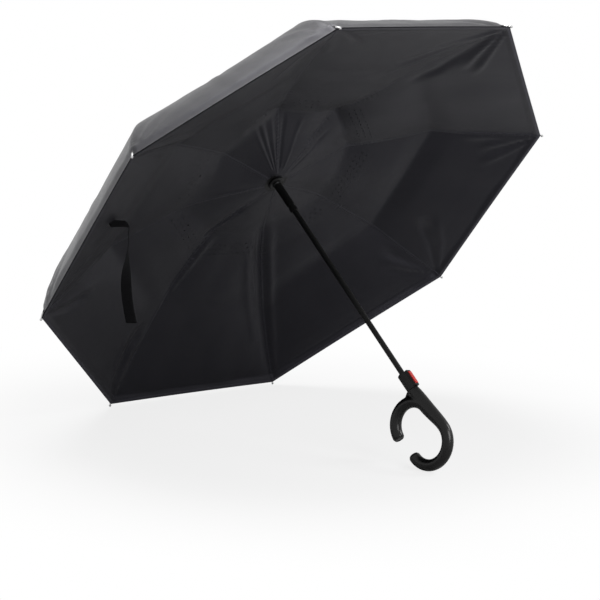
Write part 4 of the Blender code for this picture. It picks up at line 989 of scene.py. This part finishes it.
def tube(mesh_points, mesh_faces, path):
    """Adds a closed tube with rounded-flat ends, through rows of (u, d, half width)."""
    sides = 36
    rows = end_rows(path[0], path[1])[::-1] + [(row[:2], row[2], 0.0) for row in path]
    rows += end_rows(path[-1], path[-2])
    middles = np.array([row[0] for row in rows])
    along = np.gradient(middles, axis=0)
    along /= np.hypot(along[:, 0], along[:, 1])[:, None]
    base = len(mesh_points)
    for (middle, half, shrink), direction in zip(rows, along):
        thick = GRIP_HALF_THICKNESS - shrink
        normal = np.array((-direction[1], direction[0]))
        for c, s in circle(sides):
            spot = middle + normal * half * c
            mesh_points.append((spot[0], thick * s, spot[1]))
    mesh_faces.extend(sleeve(len(rows), sides, base, capped=True))


def web_prism(mesh_points, mesh_faces):
    """The thin web that fills the notch between the collar and the near bend."""
    base = len(mesh_points)
    for side in (-WEB_HALF_THICKNESS, WEB_HALF_THICKNESS):
        mesh_points.extend((u, side, d) for u, d in WEB_OUTLINE)
    mesh_faces.extend(sleeve(2, len(WEB_OUTLINE), base, capped=True))


def remesh(item):
    """Joins an object's overlapping bodies into one even skin."""
    modifier = item.modifiers.new("join", "REMESH")
    modifier.mode = "VOXEL"
    modifier.voxel_size = REMESH_SIZE
    modifier.use_smooth_shade = True
    graph = bpy.context.evaluated_depsgraph_get()
    made = bpy.data.meshes.new_from_object(item.evaluated_get(graph))
    item.modifiers.clear()
    old = item.data
    item.data = made
    bpy.data.meshes.remove(old)


def reshape(item, *changes):
    """Runs changes on an object's mesh, one after another."""
    bm = bmesh.new()
    bm.from_mesh(item.data)
    for change in changes:
        change(bm)
    bm.to_mesh(item.data)
    bm.free()
    item.data.shade_smooth()


def face_out(bm):
    bmesh.ops.recalc_face_normals(bm, faces=bm.faces)


def even_out(bm):
    bmesh.ops.smooth_vert(bm, verts=bm.verts, factor=0.5, use_axis_x=True, use_axis_y=True,
                          use_axis_z=True)


def build_grip():
    """The handle as one moulded skin, with its two end plugs."""
    points, faces = [], []
    limb = list(GRIP_LIMB)
    for k in range(1, 60):
        limb.append(bend_point(FAR_BEND, FAR_FROM + (FAR_TO - FAR_FROM) * k / 59))
    tube(points, faces, sections_between(limb, 150))
    near = [bend_point(NEAR_BEND, NEAR_FROM + (NEAR_TO - NEAR_FROM) * k / 49) for k in range(50)]
    tube(points, faces, sections_between(near, 90))
    web_prism(points, faces)
    placed = [from_hook(*p) for p in points]
    grip = mesh_object("grip_body", placed, faces, LOOKS["grip_black"])
    reshape(grip, face_out)
    remesh(grip)
    reshape(grip, *[even_out] * 10)
    if not grip.data.materials:
        grip.data.materials.append(LOOKS["grip_black"])
    for piece in (grip, end_plug("far", FAR_BEND, FAR_TO, 1),
                  end_plug("near", NEAR_BEND, NEAR_TO, -1)):
        attach(piece, "shaft", "grip_black", "handle_shell_left", "handle_shell_right")


# An end face from its middle out: share of the grip's half width, and how far it stands out
PLUG_PROFILE = ((0.0, 0.0026), (0.50, 0.0026), (0.62, 0.0029), (0.68, 0.0036), (0.74, 0.0038),
                (0.80, 0.0034), (0.84, 0.0024), (0.86, 0.0010))


def end_plug(name, bend, angle, way):
    """A moulded end face: a raised rim round a shallow dish, set in a bend's open end."""
    u, d, half = bend_point(bend, angle)
    direction = np.array((-math.sin(angle), -math.cos(angle))) * way
    normal = np.array((-direction[1], direction[0]))
    sides = 40
    points = []
    for radius, out in PLUG_PROFILE:
        middle = np.array((u, d)) + direction * out
        for c, s in circle(sides):
            spot = middle + normal * half * radius * c
            points.append(from_hook(spot[0], GRIP_HALF_THICKNESS * radius * s, spot[1]))
    item = mesh_object(f"grip_end_{name}", points, sleeve(len(PLUG_PROFILE), sides),
                       LOOKS["grip_black"])
    outward = Vector(from_hook(u + direction[0], 0, d + direction[1]) - from_hook(u, 0, d))

    def weld(bm):
        bmesh.ops.remove_doubles(bm, verts=bm.verts, dist=1e-6)

    def turn_out(bm):
        if sum(face.normal.dot(outward) for face in bm.faces) < 0:
            bmesh.ops.reverse_faces(bm, faces=bm.faces)

    reshape(item, weld, face_out, turn_out)
    return item


# ---- springs

SPRING_STEPS = 20
SPRING_SIDES = 10
# Distance between closed turns, in radii of the wire
CLOSED_PITCH = 2.05


def spring_piece(name, node_name, axis, middle, radius, wire, turns, closed_turns,
                 pressed_by=None):
    """A round-wire spring with closed end turns, where its node is."""
    reach = (node_points(node_name) - middle) @ axis
    low, high = float(reach.min()) + wire, float(reach.max()) - wire
    side = np.cross(axis, (0.3, 0.5, 0.8))
    side /= np.linalg.norm(side)
    other = np.cross(axis, side)
    all_turns = turns + 2 * closed_turns
    total = int(all_turns * SPRING_STEPS)
    closed = CLOSED_PITCH * wire * closed_turns
    ends = (low, low + closed, high - closed, high)
    points = []
    for k in range(total + 1):
        turn = k / SPRING_STEPS
        z = np.interp(turn, (0, closed_turns, closed_turns + turns, all_turns), ends)
        angle = 2 * math.pi * turn
        out = side * math.cos(angle) + other * math.sin(angle)
        spot = middle + axis * z + out * radius
        points += [spot + wire * (out * c + axis * s) for c, s in circle(SPRING_SIDES)]
    item = mesh_object(name, points, sleeve(total + 1, SPRING_SIDES, capped=True),
                       LOOKS["bright_steel"])
    attach(item, "shaft", "bright_steel", node_name)
    if pressed_by:
        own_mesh(item)


def build_springs():
    spring_piece("main_spring_wire", "opening_spring", UMBRELLA[:3, 2], UMBRELLA[:3, 3], 0.0032,
                 0.0005, 26, 2)
    spots = node_points("button_spring")
    spring_piece("button_spring_wire", "button_spring", from_hook(1, 0, 0) - from_hook(0, 0, 0),
                 (spots.min(axis=0) + spots.max(axis=0)) / 2, 0.0015, 0.0002, 5, 1.5,
                 pressed_by="button_rock")


# ---- CAD nodes' materials

# Each look with the starts of its nodes' names; the other nodes are black plastic
NODE_LOOKS = {
    "black_steel": ("shaft_tube", "button_pin"),
    "bright_steel": ("crown_ring", "runner_ring", "opening_spring", "button_spring", "tip_"),
    "grip_black": ("handle_shell",),
    "button_red": ("release_button",),
    "rib_steel": ("rib_", "strut_"),
    "rod_fibre": ("rod_",),
    "inner_cloth": ("inner_canopy",),
    "outer_cloth": ("outer_canopy",),
    "strap_cloth": ("tie_strap",),
}


def dress_nodes():
    for name, node in frame["nodes"].items():
        found = [look for look, starts in NODE_LOOKS.items() if name.startswith(starts)]
        for slot in node.material_slots:
            slot.link = "OBJECT"
            slot.material = LOOKS[found[0] if found else "black_plastic"]


# ---- stage

FLOOR_HALF = 60.0
FLOOR_GAP = 0.0002
FLOOR_LEVEL = 0.86


def build_stage():
    """A pale floor that keeps the shadow and runs out into the white surroundings."""
    mesh = bpy.data.meshes.new("floor")
    corners = ((-1, -1), (1, -1), (1, 1), (-1, 1))
    mesh.from_pydata([(x * FLOOR_HALF, y * FLOOR_HALF, 0) for x, y in corners], [],
                     [(0, 1, 2, 3)])
    floor = add_object("floor", mesh)
    floor.location.z = -FLOOR_GAP
    n = Look("floor_white")
    path = n.node("ShaderNodeLightPath")
    mirrored = n.math("MAXIMUM", path.outputs["Is Glossy Ray"],
                      path.outputs["Is Transmission Ray"])
    spot = n.node("ShaderNodeSeparateXYZ")
    n.link(n.place(), spot.inputs[0])
    far = n.math("SQRT", n.plus(n.math("POWER", spot.outputs["X"], 2.0),
                                n.math("POWER", spot.outputs["Y"], 2.0)))
    clear = n.times(path.outputs["Is Camera Ray"], n.step(far, 0.34, 0.90, 0.80, 1.0))
    clear = n.math("MAXIMUM", clear, n.times(mirrored, n.step(far, 1.2, 3.0)))
    mesh.materials.append(n.finished({"Base Color": grey(FLOOR_LEVEL), "Roughness": 0.9,
                                      "Specular IOR Level": 0.0}))
    glow = n.node("ShaderNodeEmission")
    mixed = n.node("ShaderNodeMixShader")
    for socket, source in zip(mixed.inputs, (clear, n.shader.outputs[0], glow.outputs[0])):
        n.link(source, socket)
    n.link(mixed.outputs[0], n.tree.nodes["Material Output"].inputs["Surface"])


# Name, place, target, size and power of each lamp
LAMPS = (
    ("top", (0.25, 1.0, 2.7), (0, 0, 0.2), 2.0, 44.0),
    ("right", (2.2, -1.8, 2.6), (0, 0, 0.3), 1.4, 42.0),
    ("front", (0.0, -1.0, 0.5), (0, 0, 0.42), 0.5, 4.0),
)
WORLD_STRENGTH = 0.10


def area_light(name, location, target, size, power):
    data = bpy.data.lights.new(name, "AREA")
    data.shape = "DISK"
    data.size = size
    data.energy = power
    item = add_object(name, data)
    item.location = location
    aim = Vector(target) - Vector(location)
    item.rotation_mode = "QUATERNION"
    item.rotation_quaternion = aim.to_track_quat("-Z", "Y")
    item.visible_camera = False


def build_lights():
    world = bpy.data.worlds.new("studio")
    bpy.context.scene.world = world
    world.use_nodes = True
    tree = world.node_tree
    tree.nodes.clear()
    n = Nodes(tree)
    path = n.node("ShaderNodeLightPath")
    seen = n.math("MAXIMUM", path.outputs["Is Camera Ray"], path.outputs["Is Glossy Ray"])
    seen = n.math("MAXIMUM", seen, path.outputs["Is Transmission Ray"])
    strength = n.plus(n.times(seen, 1 - WORLD_STRENGTH), WORLD_STRENGTH)
    background = n.node("ShaderNodeBackground")
    n.link(strength, background.inputs["Strength"])
    n.link(background.outputs[0], n.node("ShaderNodeOutputWorld").inputs["Surface"])
    for lamp in LAMPS:
        area_light(*lamp)


CAMERA_PLACE = (-2.743693, -3.120562, 0.994422)
CAMERA_RIGHT = Vector((0.7597375, -0.64871849, 0.04430917))
CAMERA_UP = Vector((0.08185732, 0.16302233, 0.98322078))
LENS, SENSOR = 137.70, 36.0


def build_camera():
    data = bpy.data.cameras.new("camera")
    data.sensor_width = SENSOR
    data.lens = LENS
    camera = add_object("camera", data)
    back = CAMERA_RIGHT.cross(CAMERA_UP)
    place = Matrix((CAMERA_RIGHT, CAMERA_UP, back)).transposed().to_4x4()
    place.translation = CAMERA_PLACE
    camera.matrix_world = place
    data.clip_start, data.clip_end = 0.1, 200.0
    bpy.context.scene.camera = camera


bpy.context.scene.view_settings.view_transform = "Standard"
build_camera()
build_stage()
build_lights()
dress_nodes()
build_canopy("lining", lining_layer, "inner_cloth", "inner_canopy", "runner", "rib",
             LINING_EDGES, vent_holes, FLAP)
build_canopy("cover", cover_layer, "outer_cloth", "outer_canopy", "shaft", "strut",
             COVER_EDGES)
build_strap()
build_grip()
build_springs()
